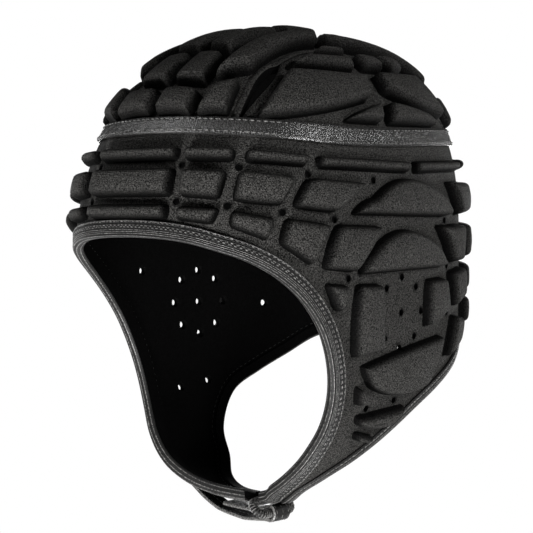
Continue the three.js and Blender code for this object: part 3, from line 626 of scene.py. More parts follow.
def clothMaterial(name):
    look = clothLooks[name]
    material, tree, shader = newMaterial(name)
    grain = addNode(tree, "ShaderNodeGroup", node_tree=grainGroup)
    place = addNode(tree, "ShaderNodeTexCoord").outputs["Object"]
    feed(tree, grain, {"Vector": place, "Loop Scale": look["loop"], "Speckle Scale": look["speckle"]})
    ramp = addNode(tree, "ShaderNodeValToRGB", {"Fac": grain.outputs["Speckle"]})
    for k, stop, tone in ((0, 0.36, "dark"), (1, 0.72, "light")):
        ramp.color_ramp.elements[k].position = stop
        ramp.color_ramp.elements[k].color = (*look[tone], 1)
    color = ramp
    if "paintedGrooveShade" in look:
        # painted shade: the colour is darkened towards near-black on the pads' steep flanks, where shade
        # falls in the grooves
        paintedGrooveShade = addNode(tree, "ShaderNodeAttribute", attribute_name="paintedGrooveShade").outputs["Fac"]
        share = addNode(tree, "ShaderNodeMath", {0: paintedGrooveShade, 1: look["paintedGrooveShade"]}, operation="MULTIPLY")
        paintedShadeMix = addNode(tree, "ShaderNodeMix", data_type="RGBA")
        feed(tree, paintedShadeMix, {"Factor": share, "A": ramp, "B": (0.0008, 0.0008, 0.0008, 1)})
        color = paintedShadeMix.outputs["Result"]
    low, high = look["rough"]
    gloss = addNode(tree, "ShaderNodeMapRange", {"Value": grain.outputs["Shade"], "From Min": 0.3,
                                                 "From Max": 0.7, "To Min": low, "To Max": high})
    bump = addNode(tree, "ShaderNodeBump",
                   {"Height": grain.outputs["Height"], "Strength": look["bump"], "Distance": 0.0002})
    feed(tree, shader, {
        "Base Color": color, "Roughness": gloss, "Normal": bump, "Specular IOR Level": look["specular"],
        "Sheen Weight": look.get("sheen", 0.0), "Sheen Roughness": 0.5, "Sheen Tint": (0.9, 0.88, 0.85, 1),
    })
    return material


materials = {name: clothMaterial(name) for name in clothLooks}
print("materials ready")

# Vents

ventShape = {"radius": 1.55, "flare": 5.6, "flareStart": -0.6, "reach": 12.0, "sides": 20, "ring": 17.0,
             "ringCount": 8}
earCentre = (114, -0.193)
ventPlaces = [
    (20.3, 0.427), (20.3, 0.276), (39.3, 0.414), (37, 0.256), (63.3, 0.39), (54.5, 0.23), (76, 0.2),
    (98, 0.37), (138.5, 0.195), (83.7, -0.045), (140, -0.013), (140, -0.212), (150.5, -0.15),
    (94.5, -0.572), (112, -0.553),
]


def ventField():
    # a cutter for each vent, straight outside and flared inside
    v = ventShape
    places, normals = [], []
    for side in (-1, 1):
        spots, outs = ontoForm(bandChart(np.array([(side * a, b) for a, b in [*ventPlaces, earCentre]])))
        places += list(spots)
        normals += list(outs)
        middle, out = spots[-1], outs[-1]
        up = unit(np.array([0, 0, 1.0]) - out * out[2])
        along = np.cross(out, up)
        for k in range(v["ringCount"]):
            turn = 2 * math.pi * k / v["ringCount"]
            places.append(middle + v["ring"] * (up * math.cos(turn) + along * math.sin(turn)))
            normals.append(out)
    points, faces = [], []
    sides = v["sides"]
    turns = [2 * math.pi * k / sides for k in range(sides)]
    levels = ((-v["reach"], v["flare"]), (v["flareStart"], v["radius"]), (v["reach"], v["radius"]))
    for place, normal in zip(places, normals):
        first = unit(np.cross(normal, [0.3, 0.1, 1.0]))
        second = np.cross(normal, first)
        base = len(points)
        for reach, radius in levels:
            points += [place + normal * reach + (first * math.cos(a) + second * math.sin(a)) * radius
                       for a in turns]
        faces += ringFaces(3, sides, base) + capFaces(base, base + 2 * sides, sides)
    return makePiece("vents", points, faces)


# Lower shell: corners [azimuth, level], how far the pad stands up, and how far each side bows out

barRise, bandRise, earRise, crownRise = 5.2, 6.2, 5.4, 7.0
bandRows = [
    ([(21.5, 0.443), (37.5, 0.438), (37.5, 0.487), (21.5, 0.493)], barRise),
    ([(41, 0.435), (61.5, 0.418), (62.5, 0.466), (41, 0.484)], barRise),
    ([(67, 0.413), (117.5, 0.405), (117.5, 0.455), (66, 0.463)], barRise),
    ([(121, 0.405), (148, 0.425), (149, 0.475), (121, 0.456)], barRise),
    ([(22, 0.296), (34.5, 0.283), (36, 0.395), (22, 0.405)], bandRise),
    ([(38.5, 0.278), (53.5, 0.26), (58, 0.375), (39.5, 0.397)], bandRise, (0.5, 0, 0, 0)),
    ([(57.5, 0.252), (75, 0.232), (91, 0.355), (62.5, 0.372)], bandRise, (0.5, 0.6, 0, 0.6)),
    ([(84, 0.222), (140, 0.212), (134, 0.31), (96, 0.29)], bandRise, (0, 1, 8.5, 1.5)),
    ([(144.5, 0.22), (159, 0.24), (159, 0.38), (139, 0.37)], bandRise, (0, 0, 0, -1.5)),
    ([(21.5, 0.2), (33, 0.182), (35, 0.245), (22, 0.255)], barRise),
    ([(38, 0.172), (49.5, 0.115), (51.5, 0.205), (38.5, 0.235)], bandRise),
    ([(53.5, 0.1), (65, 0.01), (72.5, 0.178), (55.5, 0.205)], bandRise, (0, 0, 0, 0.5)),
    ([(70, -0.005), (85.5, -0.02), (100, 0.17), (76, 0.178)], bandRise, (0, 0.8, 0, 0.8)),
    ([(88.5, -0.03), (136, -0.015), (131, 0.08), (95, 0.06)], bandRise, (0, 1, 9, 1.5)),
    ([(139.5, 0), (146, 0.005), (147.5, 0.178), (132, 0.17)], bandRise, (0, 0, 0, -1.5)),
    ([(150.5, 0.02), (163, 0.03), (163, 0.19), (151.5, 0.18)], bandRise),
    ([(75.5, -0.165), (79, -0.17), (82, -0.072), (71, -0.062)], earRise),
    ([(84, -0.355), (101, -0.335), (101, -0.073), (87.5, -0.07)], earRise, (0, 0, 0, 1.2)),
    ([(126, -0.26), (138, -0.2), (136, -0.06), (127, -0.065)], earRise, (0, 0, 0, 0.8)),
    ([(141.5, -0.19), (149.5, -0.145), (149, -0.02), (139.5, -0.04)], earRise),
    ([(153, -0.125), (163, -0.115), (163, 0), (153, -0.01)], earRise),
    ([(152, -0.27), (163, -0.24), (163, -0.145), (153, -0.155)], earRise),
    ([(138.5, -0.4), (146, -0.335), (148, -0.235), (142, -0.225)], earRise, (0.5, 0.5, 0, 0.5)),
    ([(94, -0.48), (128, -0.5), (135.5, -0.3), (89, -0.395)], earRise, (4.5, 1, 0.5, 0.5)),
    ([(86, -0.55), (93.5, -0.54), (88.5, -0.475), (86, -0.475)], earRise),
    ([(87, -0.628), (110, -0.645), (118, -0.575), (87, -0.595)], earRise, (2, 0.5, 0, 0)),
    ([(87, -0.694), (95, -0.708), (101, -0.692), (87, -0.66)], earRise),
]
# pads on the centre line: azimuth, half their angle, lowest and highest level, rise
centreRows = [
    (0, 18.5, 0.445, 0.495, barRise), (0, 18.5, 0.297, 0.408, bandRise), (0, 18, 0.202, 0.262, barRise),
    (180, 27, 0.435, 0.485, barRise), (180, 17, 0.245, 0.39, bandRise), (180, 13, 0.035, 0.195, bandRise),
    (180, 13, -0.11, 0.003, earRise), (180, 13, -0.235, -0.14, earRise),
]
# what is cut away along an edge's line, and the gap between the two flap ends under the chin
edgeTrim = box(-12, -8, 1.2, 8)
chinGap = box(8, -90, 14.2, 130)


def lowerShell(face, nape):
    shell = wallShell("lower_shell", -0.2, -1, 84, 192)
    vents = ventPlaces + [(-a, b) for a, b in ventPlaces]
    pads = bandRows + mirrored(bandRows, 0)
    pads += [(box(turn - half, low, turn + half, high), rise) for turn, half, low, high, rise in centreRows]
    combine(shell, padField(pads, bandChart, vents), "UNION")
    combine(shell, ventField(), "DIFFERENCE")
    for path in (face, nape):
        combine(shell, sweep("trim", edgeFrames(path), edgeTrim), "DIFFERENCE")
    cuts = (
        ([bandPoints(faceEdge), jawPoints([(-a, b) for a, b in rightTipFront])], -1, -300, 300),
        ([bandPoints(napeEdge), jawPoints(leftTipRear)], 1, 0, 300),
        ([bandPoints(napeEdge), jawPoints([(-a, b) for a, b in rightTipRear])], 1, -300, 0),
    )
    for path, side, start, end in cuts:
        combine(shell, openingBlock(smoothPath(np.vstack(path), 4), side, start, end), "DIFFERENCE")
    combine(shell, prism("gap", chinGap, "z", -400, -180), "DIFFERENCE")
    return shell


# Crown panels: strip corners as [share of half width, share of reach], side corners as [azimuth, ring]

stripRows = [
    ([(0.035, -0.868), (0.33, -0.855), (0.31, -0.785), (0.035, -0.795)], crownRise),
    ([(0.38, -0.845), (0.56, -0.77), (0.505, -0.67), (0.38, -0.75)], crownRise),
    ([(0.035, -0.765), (0.29, -0.755), (0.24, -0.595), (0.04, -0.6)], crownRise),
    ([(0.04, -0.565), (0.26, -0.56), (0.22, -0.185), (0.04, -0.185)], crownRise + 1.5),
    ([(0.335, -0.725), (0.5, -0.6), (0.4, -0.03), (0.31, -0.03)], crownRise + 1, (0, 1, 0, 0)),
]
topPad = (box(0.04, -0.15, 0.24, 0.1), crownRise + 2)
sideRows = [
    ([(42.5, 0.884), (99, 0.812), (100, 0.715), (51.5, 0.717)], crownRise, (1.2, 0, 0, 0)),
    ([(80, 0.88), (104, 0.88), (104, 0.825), (84, 0.868)], crownRise, (0, 0, 0.5, 0)),
    ([(109, 0.88), (139, 0.875), (133, 0.845), (111, 0.82)], crownRise, (0, 0, 0.7, 0)),
    ([(112, 0.775), (147, 0.85), (142, 0.68), (112, 0.69)], crownRise, (1.2, 0, 0, 0)),
    ([(53, 0.687), (96, 0.687), (96, 0.605), (60, 0.615)], crownRise),
    ([(66, 0.58), (98, 0.578), (97, 0.52), (74, 0.525)], crownRise),
    ([(107, 0.655), (125, 0.65), (121, 0.57), (105, 0.565)], crownRise),
    ([(130, 0.65), (142, 0.64), (136, 0.56), (126, 0.56)], crownRise),
]
seamLine = [(-0.445, 0.55), (-0.22, 0.495), (0, 0.46), (0.22, 0.495), (0.445, 0.55)]
slitRows = [(0.62, -0.735, 0.4), (0.61, -0.66, 3.4), (0.585, -0.565, 6.0), (0.56, -0.49, 4.0)]


def stripHalf(offset, slitSign):
    # right half of the strip's plan outline, from front to back, moved out by the offset
    edge = slitRows[0][0] * headForm["halfWidth"] + offset
    middle = [(across + offset, along) for along, across in seamSpots(slitSign)]
    return [(edge, -300.0), *middle, (edge, 300.0)]


def seamSpots(slitSign):
    # the seam with its slit open by half its width, as (along, across)
    spots = []
    for sign, rows in ((-1, slitRows), (1, slitRows[::-1])):
        if sign > 0:
            places = [stripChart(np.array([across, along])) for along, across in seamLine]
            spots += [(y, x) for x, y, _ in places]
        for across, along, width in rows:
            x, y, _ = stripChart(np.array([across, -sign * along]))
            shift = slitSign * width / 2
            spots.append((y - sign * shift * 0.5, x + shift * 0.85))
    return spots


def smoothHalf(half):
    # rounds the chosen points of a half outline, all but its two straight ends
    inner = np.array([(x, y, 0.0) for x, y in half[1:-1]])
    return [half[0], *[(p[0], p[1]) for p in smoothPath(inner, 2.0)], half[-1]]


def stripBlock(offset, slitSign):
    half = smoothHalf(stripHalf(offset, slitSign))
    return prism("block", half + [(-x, y) for x, y in reversed(half)], "z", -300, 300)


def crownCap(name):
    return wallShell(name, 0.2, 1, 40, 160)


def crownPanels(gap=0.4):
    strip = combine(crownCap("crown_strip"), stripBlock(-gap / 2, -1), "INTERSECT")
    half = stripRows + mirrored(stripRows, 1) + [topPad]
    combine(strip, padField(half + mirrored(half, 0), stripChart), "UNION")
    sides = []
    for name, sign in (("crown_side_left", 1), ("crown_side_right", -1)):
        side = combine(crownCap(name), stripBlock(gap / 2, 1), "DIFFERENCE")
        keep = prism("half", box(0, -200, sign * 200, 200), "z", -300, 300)
        combine(side, keep, "INTERSECT")
        rows = sideRows if sign > 0 else mirrored(sideRows, 0)
        sides.append(combine(side, padField(rows, sideChart), "UNION"))
    return strip, sides


facePath, napePath = edgePaths(1.6)
shell = lowerShell(facePath, napePath)
print("lower shell", len(shell.data.polygons))
strip, sides = crownPanels()
print("crown panels", len(strip.data.polygons), [len(side.data.polygons) for side in sides])


def formLift(places):
    # how far places stand off the form, and the form's normals there
    near, normals = ontoForm(places)
    return ((places - near) * normals).sum(1), normals


clothDress = {
    "crease": 40,            # the angle over which an edge stays sharp
    # liningBelow: faces deeper than this take the near-black lining finish, painted darker as shade
    "liningBelow": -0.4,     # faces deeper than this are lining
    "steep": (0.02, 0.32),   # from which lean of a flank its shade starts, and over how much it grows
    "low": (2.5, 7.0),       # from which height it fades, and over how much
    "least": 0.3,            # what is left of it higher up
}


def dressCloth(piece):
    # cloth outside, near-black lining on the faces that lie behind the wall, painted darker than the cloth as
    # shade, and a painted shade mask on the pads' flanks
    d = clothDress
    finishShading(piece, d["crease"])
    mesh = piece.data
    mesh.materials.clear()
    for name in ("paddedCloth", "liningAndPaintedShade"):
        mesh.materials.append(materials[name])
    lift, _ = formLift(readVectors(mesh.polygons, "center") / mm)
    mesh.polygons.foreach_set("material_index", (lift < d["liningBelow"]).astype(np.int32))
    # the groove attribute is a painted shade mask: steep flanks near the wall, but not the tops or the inside
    lift, normals = formLift(readVectors(mesh.vertices, "co") / mm)
    upright = (readVectors(mesh.vertices, "normal") * normals).sum(1)
    steep = np.clip((1 - upright - d["steep"][0]) / d["steep"][1], 0, 1)
    low = np.clip(1 - (lift - d["low"][0]) / d["low"][1], d["least"], 1)
    shadow = np.where(lift > -1, steep * low, 0).astype(np.float32)
    mesh.attributes.new("paintedGrooveShade", "FLOAT", "POINT").data.foreach_set("value", shadow)
    mesh.update()


for piece in (shell, strip, *sides):
    dressCloth(piece)

# What repeats along a path: stitches, ribs and thread, set on points that carry their two directions


def repeatTree(name, shape):
    sizes = ("Length", "Width", "Height")
    tree = bpy.data.node_groups.new(name, "GeometryNodeTree")
    addSockets(tree, "INPUT", "Geometry", "Points")
    addSockets(tree, "INPUT", "Float", *sizes)
    addSockets(tree, "INPUT", "Material", "Material")
    addSockets(tree, "OUTPUT", "Geometry", "Geometry")
    entry = addNode(tree, "NodeGroupInput").outputs
    if shape == "ring":
        ring = addNode(tree, "GeometryNodeCurvePrimitiveCircle", {"Resolution": 14, "Radius": 1.0})
        section = addNode(tree, "GeometryNodeCurvePrimitiveCircle", {"Resolution": 5, "Radius": 0.16})
        one = addNode(tree, "GeometryNodeCurveToMesh", {"Curve": ring, "Profile Curve": section})
    else:
        one = addNode(tree, "GeometryNodeMeshUVSphere", {"Segments": 8, "Rings": 5, "Radius": 0.5})
    smooth = addNode(tree, "GeometryNodeSetShadeSmooth", {"Geometry": one})
    turn = addNode(tree, "FunctionNodeAxesToRotation", primary_axis="X", secondary_axis="Z")
    for label, socket in (("along", "Primary Axis"), ("outward", "Secondary Axis")):
        read = addNode(tree, "GeometryNodeInputNamedAttribute", data_type="FLOAT_VECTOR")
        feed(tree, read, {"Name": label})
        feed(tree, turn, {socket: read})
    points = addNode(tree, "GeometryNodeMeshToPoints", {"Mesh": entry["Points"]})
    size = addNode(tree, "ShaderNodeCombineXYZ", {k: entry[label] for k, label in enumerate(sizes)})
    place = addNode(tree, "GeometryNodeInstanceOnPoints",
                    {"Points": points, "Instance": smooth, "Rotation": turn, "Scale": size})
    real = addNode(tree, "GeometryNodeRealizeInstances", {"Geometry": place})
    dress = addNode(tree, "GeometryNodeSetMaterial", {"Geometry": real, "Material": entry["Material"]})
    addNode(tree, "NodeGroupOutput", {"Geometry": dress})
    return tree


stitchTree = repeatTree("stitches along a path", "ball")
windingTree = repeatTree("thread round a cord", "ring")


def repeatAlong(name, tree, places, along, outward, size, material):
    mesh = bpy.data.meshes.new(name)
    mesh.from_pydata((places * mm).tolist(), [], [])
    for label, values in (("along", along), ("outward", outward)):
        data = mesh.attributes.new(label, "FLOAT_VECTOR", "POINT").data
        data.foreach_set("vector", np.asarray(values, np.float32).ravel())
    piece = addObject(name, mesh)
    modifier = piece.modifiers.new("repeat", "NODES")
    modifier.node_group = tree
    ids = {item.name: item.identifier for item in tree.interface.items_tree if item.in_out == "INPUT"}
    for label, value in zip(("Length", "Width", "Height"), size):
        modifier[ids[label]] = value * mm
    modifier[ids["Material"]] = material
    applyModifiers(piece)
    return piece


def joinPieces(target, others):
    # one object from several, with each face keeping its own material
    with bpy.context.temp_override(active_object=target, selected_editable_objects=[target, *others]):
        bpy.ops.object.join()
    return target


def stitchRow(frames, aside, lift, pitch=3.0, length=2.1, thick=0.55, material="thread"):
    # a row of stitches beside a path: aside is how far inward it runs, lift how high over the cloth
    points, normals, tangents, inward = frames
    path = points + inward * aside + normals * lift
    lengths = alongLengths(path)
    marks = np.arange(pitch / 2, lengths[-1], pitch)
    places, along, outward = (pickAlong(marks, lengths, values) for values in (path, tangents, normals))
    return repeatAlong("row", stitchTree, places, unit(along), unit(outward), (length, thick, thick),
                       materials[material])


# Bound edges

bindingShape = {
    "face": {"width": 7.8, "cords": 8, "cordHeight": 0.5, "bright": (0, 1, 2, 7), "stitched": (4, 5, 7)},
    "nape": {"width": 5.9, "cords": 5, "cordHeight": 0.45, "bright": (0, 1, 3), "stitched": (4,)},
    "thickness": 0.9,
    "clearance": 0.55,
    "innerClearance": 0.2,
    "start": 1.2,
    "stepsPerCord": 6,
    "foldCords": 4,
    "foldSwell": 0.25,
}


def bindingSection(kind):
    # folded tape, from the inner leg's free edge round the fold to the outer leg, as spots and finishes
    b, look = bindingShape, bindingShape[kind]
    thick, width, steps = b["thickness"], look["width"], b["stepsPerCord"]
    inner = -headForm["wall"] - b["innerClearance"]
    outer, deep = b["clearance"] + thick, inner - thick
    inside = [(width, inner), (width + 0.15, inner - thick * 0.5), (width, deep)]
    inside += [(width * s, deep) for s in (0.75, 0.5, 0.3)]
    # the inner leg takes the near-black finish as painted shade, though it is the same tape as the outer leg
    sides = [(spot, "liningAndPaintedShade") for spot in inside]
    middle, half = (outer + deep) / 2, (outer - deep) / 2
    folds = b["foldCords"]
    for k in range(folds * 4 + 1):
        turn = math.pi * k / (folds * 4)
        swelling = b["foldSwell"] * abs(math.sin(turn * folds))
        spot = (1 - (1 + swelling) * math.sin(turn), middle - (half + swelling * 0.5) * math.cos(turn))
        sides.append((spot, "thread" if k % 4 == 1 and k > folds else "edging"))
    for k in range(1, look["cords"] * steps + 1):
        share = k / (look["cords"] * steps)
        ridge = abs(math.sin(math.pi * share * look["cords"])) ** 0.8
        spot = (cordPlace(kind, share), outer - 0.3 + look["cordHeight"] * ridge)
        sides.append((spot, "thread" if k % steps in (2, 3) and k // steps in look["bright"] else "edging"))
    sides.append(((width + 0.1, outer - thick * 0.5), "edging"))
    # the back takes the near-black finish too, as painted shade
    back = [(width, b["clearance"]), (width * 0.5, b["clearance"]), (thick, b["clearance"])]
    sides += [(spot, "liningAndPaintedShade") for spot in [*back, (thick, inner), (width * 0.5, inner)]]
    return [spot for spot, _ in sides], [finish for _, finish in sides]


def cordPlace(kind, share):
    # distance from the edge to a share of the outer leg
    start = bindingShape["start"]
    return start + (bindingShape[kind]["width"] - start) * share


def finishBySide(piece, finishes, count):
    # gives each lengthwise strip of a swept piece its own finish
    names = ["edging"] + [name for name in dict.fromkeys(finishes) if name != "edging"]
    for name in names:
        piece.data.materials.append(materials[name])
    index = [names.index(name) for name in finishes]
    total = len(piece.data.polygons)
    values = [index[i % len(index)] if i < count * len(index) else 0 for i in range(total)]
    piece.data.polygons.foreach_set("material_index", values)


def binding(name, path, kind):
    frames = edgeFrames(path)
    b, look = bindingShape, bindingShape[kind]
    section, finishes = bindingSection(kind)
    piece = sweep(name, frames, section)
    finishBySide(piece, finishes, len(path) - 1)
    finishShading(piece, 60)
    top = b["clearance"] + b["thickness"] + 0.05
    rows = [stitchRow(frames, cordPlace(kind, k / look["cords"]), top, pitch=2.6, length=1.8, thick=0.5)
            for k in look["stitched"]]
    rows.append(stitchRow(frames, look["width"] + 1.6, -headForm["wall"] - 0.1, pitch=3.2, material="edging"))
    return joinPieces(piece, rows)


# Webbing round the crown

tapeShape = {"width": 9.0, "lift": 0.55, "thickness": 1.2, "rib": 1.15, "ribHeight": 0.2,
             "seams": (-3.1, 3.1)}


def tapeFrames(pitch):
    azimuth = np.linspace(0, 360, 721)
    level = tapeHeight(azimuth) / headForm["crownHeight"]
    path = evenPath(bandChart(np.stack([azimuth, level], axis=1)), pitch)
    points, normals = ontoForm(path)
    points, normals = points[:-1], normals[:-1]
    tangents = ringTangents(points)
    return points, normals, tangents, unit(np.cross(normals, tangents))


def crownTape():
    t = tapeShape
    half, low, high = t["width"] / 2, t["lift"], t["lift"] + t["thickness"]
    edge = [(half, low), (half + 0.15, (low + high) / 2), (half, high - 0.1), (half - 0.35, high)]
    section = [(-half, low), *edge] + [(half * s, high) for s in (0.7, 0.35, 0, -0.35, -0.7)]
    section += [(-x, y) for x, y in edge[:0:-1]]
    piece = sweep("crown_tape", tapeFrames(2.0), section, closed=True)
    coat(piece, 50, "webbing")
    points, normals, _, up = tapeFrames(t["rib"])
    rows = [repeatAlong("ribs", stitchTree, points + normals * high, up, normals,
                        (t["width"] + 0.1, t["rib"] * 0.95, t["ribHeight"]), materials["webbing"])]
    for aside in t["seams"]:
        rows.append(stitchRow(tapeFrames(1.0), aside, high + 0.25, pitch=3.1, length=2.4, thick=0.7))
    return joinPieces(piece, rows)


# Chin: thread-wrapped loop and the hook tab that runs through it

chin = {
    "cord": 4.6, "loopLength": 29.0, "loopHeight": 13.0, "tilt": 40.0, "centreY": -19.0, "tipGap": 0.5,
    "rightTip": 8.0, "strapWidth": 11.0, "strapThick": 1.6, "strapGap": 0.5, "start": -14.0, "end": -57.0,
    "slack": 3.0, "pull": 8.0, "restLift": 3.5, "threadPitch": 1.2, "threadDepth": 0.5, "threadLean": 0.12,
}


def chinSeatX():
    return chin["rightTip"] + chin["tipGap"] + chin["cord"] / 2


def loopPath():
    # centre line of the ring, from its top bar round to the start
    top = jawPoints([(chinSeatX() / headForm["halfWidth"], -0.3)])[0]
    top = np.array([chinSeatX(), chin["centreY"], top[2]])
    tilt = math.radians(chin["tilt"])
    down = np.array([math.cos(tilt), 0, -math.sin(tilt)])
    across = np.array([0, 1.0, 0])
    bend = (chin["loopHeight"] - chin["cord"]) / 2
    half = (chin["loopLength"] - chin["cord"]) / 2 - bend
    spots = []
    for end in (-1, 1):
        for k in range(25):
            turn = math.pi * k / 24
            along = end * (half + bend * math.sin(turn))
            spots.append(top + across * along + down * bend * (1 + end * math.cos(turn)))
    spots.append(spots[0])
    return evenPath(np.array(spots), 0.5)[:-1], np.cross(across, down), top, down


def strapLoop():
    path, normal, _, _ = loopPath()
    tangents = ringTangents(path)
    normals = np.tile(normal, (len(path), 1))
    turns = np.arange(16) * 2 * math.pi / 16
    section = np.stack([np.cos(turns), np.sin(turns)], axis=1) * (chin["cord"] / 2 - chin["threadDepth"])
    piece = sweep("strap_loop", (path, normals, tangents, np.cross(tangents, normal)), section, closed=True)
    coat(piece, 60, "edging")
    wraps = evenPath(np.vstack([path, path[:1]]), chin["threadPitch"])[:-1]
    lean = unit(ringTangents(wraps) + normal * chin["threadLean"])
    size = chin["cord"] / 2 - 0.35
    winding = repeatAlong("winding", windingTree, wraps, unit(np.cross(lean, normal)), lean,
                          (size, size, size), materials["thread"])
    return joinPieces(piece, [winding])


def chinStrap():
    c = chin
    _, _, top, down = loopPath()
    bar = top + down * (c["loopHeight"] - c["cord"])
    radius = c["cord"] / 2 + c["strapGap"] + c["strapThick"] / 2
    outer = radius + c["strapThick"] + c["strapGap"]
    depth = c["centreY"] + c["strapWidth"] / 2 - setBack(headForm["jawDepth"])

    def onChin(x, lift):
        x = np.asarray(x, float)
        height = -ringOf(planShare(x, depth)) * headForm["jawDepth"]
        return lifted(x, np.full_like(x, depth), height, lift)[..., [0, 2]]

    run = onChin(np.linspace(c["start"], c["rightTip"], 12), np.full(12, radius))
    turn = np.radians(np.linspace(75, -110, 16))
    bend = np.stack([np.cos(turn), np.sin(turn)], axis=1) * radius + bar[[0, 2]]
    share = np.linspace(0, 1, 24)
    spread = c["rightTip"] - c["pull"] + (c["end"] - c["rightTip"] + c["pull"]) * share
    settle = np.clip((-spread - 17) / 16, 0, 1)
    back = onChin(spread, outer + c["slack"] * (1 - share) ** 2 - (outer - c["restLift"]) * settle)
    flat = np.vstack([run, bend, back])
    path = smoothPath(np.stack([flat[:, 0], np.full(len(flat), c["centreY"]), flat[:, 1]], axis=1), 1.2)
    tangents = unit(np.gradient(path, axis=0))
    across = np.tile([0, 1.0, 0], (len(path), 1))
    normals = unit(np.cross(across, tangents))
    half, thick = c["strapWidth"] / 2, c["strapThick"] / 2
    section = [(-half + 0.4, -thick), (half - 0.4, -thick), (half, 0), (half - 0.4, thick)]
    section += [(half * s, thick) for s in (0.6, 0.2, -0.2, -0.6)] + [(-half + 0.4, thick), (-half, 0)]
    frames = (path, normals, tangents, across)
    piece = sweep("chin_strap", frames, section)
    # one broad face of the strap takes the near-black finish as painted shade, the edges the thread finish
    finishBySide(piece, ["edging", "thread", "thread", *["liningAndPaintedShade"] * 5, "thread", "thread"], len(path) - 1)
    finishShading(piece, 50)
    rows = []
    for aside in (-half + 1.5, 0.0, half - 1.5):
        for face in (-thick, thick):
            rows.append(stitchRow(frames, aside, face, pitch=2.8, length=2.0, thick=0.4,
                                  material="thread" if face < 0 else "edging"))
    return joinPieces(piece, rows)


# Hems: a flat fold along both sides of each slit, with its stitches

hemShape = {"width": 3.0, "height": 0.7, "aside": 1.9}


def planPath(spots):
    # places over the crown from plan positions
    x, y = np.array(spots, float).T
    depth = y.copy()
    for _ in range(30):
        level = ringOf(np.minimum(planShare(x, depth), 0.999))
        depth += 0.6 * (y - depth - headForm["crownSetBack"] * (level ** 2 - 1))
    level = ringOf(np.minimum(planShare(x, depth), 0.999))
    return seat(x, depth, level * headForm["crownHeight"])


def seamHems(sign):
    # hems on the strip (slitSign -1) and on the side panel (slitSign 1), over one seam
    pieces = []
    lowest = headForm["tapeLevel"] + 4 - headForm["crownHeight"]
    for slitSign in (-1, 1):
        half = smoothHalf(stripHalf(0, slitSign))[1:-1]
        path = planPath([(sign * x, y) for x, y in half])
        path = evenPath(path[path[:, 2] > lowest], 1.2)
        points, normals, tangents, inward = edgeFrames(path)
        toward = inward * np.sign((inward * [sign, 0, 0]).sum(1, keepdims=True)) * slitSign
        points = ontoForm(points + toward * hemShape["aside"])[0]
        frames = (points, normals, tangents, toward)
        w, t = hemShape["width"] / 2, hemShape["height"]
        turns = np.linspace(0, 2 * math.pi, 14, endpoint=False)
        hem = sweep("hem", frames, [(w * math.cos(a), t * math.sin(a) - 0.1) for a in turns])
        coat(hem, 60, "paddedCloth")
        row = stitchRow(frames, 0.0, t - 0.05, pitch=2.7, length=1.7, thick=0.42, material="edging")
        pieces.append(joinPieces(hem, [row]))
    return pieces


for sign, side in zip((1, -1), sides):
    onStrip, onSide = seamHems(sign)
    joinPieces(strip, [onStrip])
    joinPieces(side, [onSide])

faceBinding = binding("face_binding", facePath, "face")
napeBinding = binding("nape_binding", napePath, "nape")
tape = crownTape()
loop = strapLoop()
strap = chinStrap()
print("trims ready")

# What each piece stands for

padded = {"lower_shell": shell, "crown_strip": strip, "crown_side_left": sides[0],
          "crown_side_right": sides[1]}
standsFor = [(piece, node, "padded_cloth") for node, piece in padded.items()]
standsFor += [(tape, "crown_tape", "webbing"), (faceBinding, "face_binding", "edging"),
              (napeBinding, "nape_binding", "edging"), (loop, "strap_loop", "thread"),
              (strap, "chin_strap", "edging")]
for piece, node, slotName in standsFor:
    piece.name = node + ".sewn"
    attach(piece, "root")
    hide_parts(node)

# Studio

studio = {
    "lookAt": (0.0, -7.8, -107.4), "azimuth": 43.3, "elevation": 1.93, "distance": 770.0, "lens": 104.0,
    "floor": -900.0, "floorSize": 12.0,
    # name, azimuth and elevation in degrees, distance and size in metres, power in watts
    "lights": [
        ("low key", 12, -32, 1.25, 0.4, 21), ("gloss", 111, 25, 1.4, 0.25, 9),
        ("fill", 58, -22, 1.4, 0.4, 10), ("left rim", -45, 40, 2.0, 0.6, 9),
        ("right rim", 165, -8, 1.8, 0.6, 2), ("back", 223, 2, 1.9, 1.1, 30),
        ("back left", 180, -4, 1.9, 0.8, 9), ("back right", 262, 2, 1.9, 0.8, 9),
    ],
}


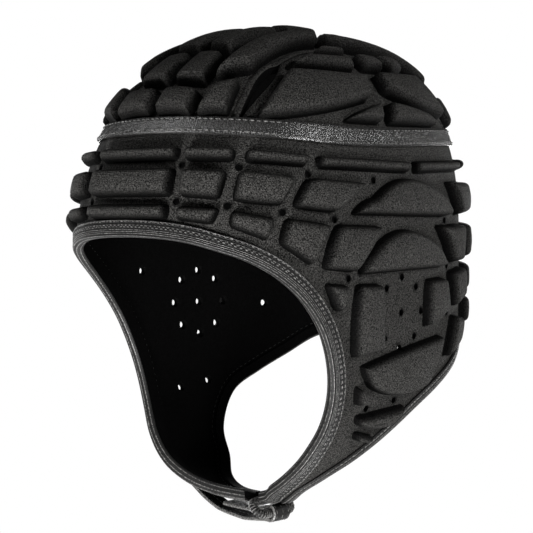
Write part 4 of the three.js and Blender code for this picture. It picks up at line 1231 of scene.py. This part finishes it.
def aimAtCap(name, data, azimuth, elevation, distance):
    # puts a camera or a light round the cap, azimuth from the face towards the wearer's left
    turn, rise = math.radians(azimuth), math.radians(elevation)
    back = Vector((math.sin(turn) * math.cos(rise), -math.cos(turn) * math.cos(rise), math.sin(rise)))
    made = addObject(name, data)
    made.location = Vector(studio["lookAt"]) * mm + back * distance
    made.rotation_euler = back.to_track_quat("Z", "Y").to_euler()
    return made


def addCamera():
    s = studio
    lens = bpy.data.cameras.new("camera")
    lens.lens, lens.clip_start = s["lens"], 0.02
    bpy.context.scene.camera = aimAtCap("camera", lens, s["azimuth"], s["elevation"], s["distance"] * mm)


def addLight(name, azimuth, elevation, distance, size, power):
    light = bpy.data.lights.new(name, "AREA")
    light.shape, light.size, light.energy = "DISK", size, power
    aimAtCap(name, light, azimuth, elevation, distance)


def seenOrLit(tree, lit, seen):
    # one shader for what the camera sees, another for what lights the cap
    ray = addNode(tree, "ShaderNodeLightPath").outputs["Is Camera Ray"]
    return addNode(tree, "ShaderNodeMixShader", {"Fac": ray, 1: lit, 2: seen})


def addFloor():
    half, level = studio["floorSize"], studio["floor"] * mm
    mesh = bpy.data.meshes.new("floor")
    mesh.from_pydata([(x, y, level) for x, y in box(-half, -half, half, half)], [], [(0, 1, 2, 3)])
    floor = addObject("floor", mesh)
    material, tree, shader = newMaterial("pale floor")
    feed(tree, shader, {"Base Color": (0.8, 0.8, 0.8, 1), "Roughness": 0.9})
    glow = addNode(tree, "ShaderNodeEmission", {"Strength": 1.0})
    output = next(node for node in tree.nodes if node.type == "OUTPUT_MATERIAL")
    feed(tree, output, {"Surface": seenOrLit(tree, shader, glow)})
    mesh.materials.append(material)


def addWorld():
    world = bpy.data.worlds.new("studio")
    bpy.context.scene.world = world
    world.use_nodes = True
    tree = world.node_tree
    tree.nodes.clear()
    lit, seen = (addNode(tree, "ShaderNodeBackground", {"Strength": strength, "Color": (1, 1, 1, 1)})
                 for strength in (0.05, 1.0))
    addNode(tree, "ShaderNodeOutputWorld", {"Surface": seenOrLit(tree, lit, seen)})


addCamera()
addFloor()
addWorld()
for row in studio["lights"]:
    addLight(*row)
bpy.context.scene.view_settings.view_transform = "Standard"
print("studio ready")
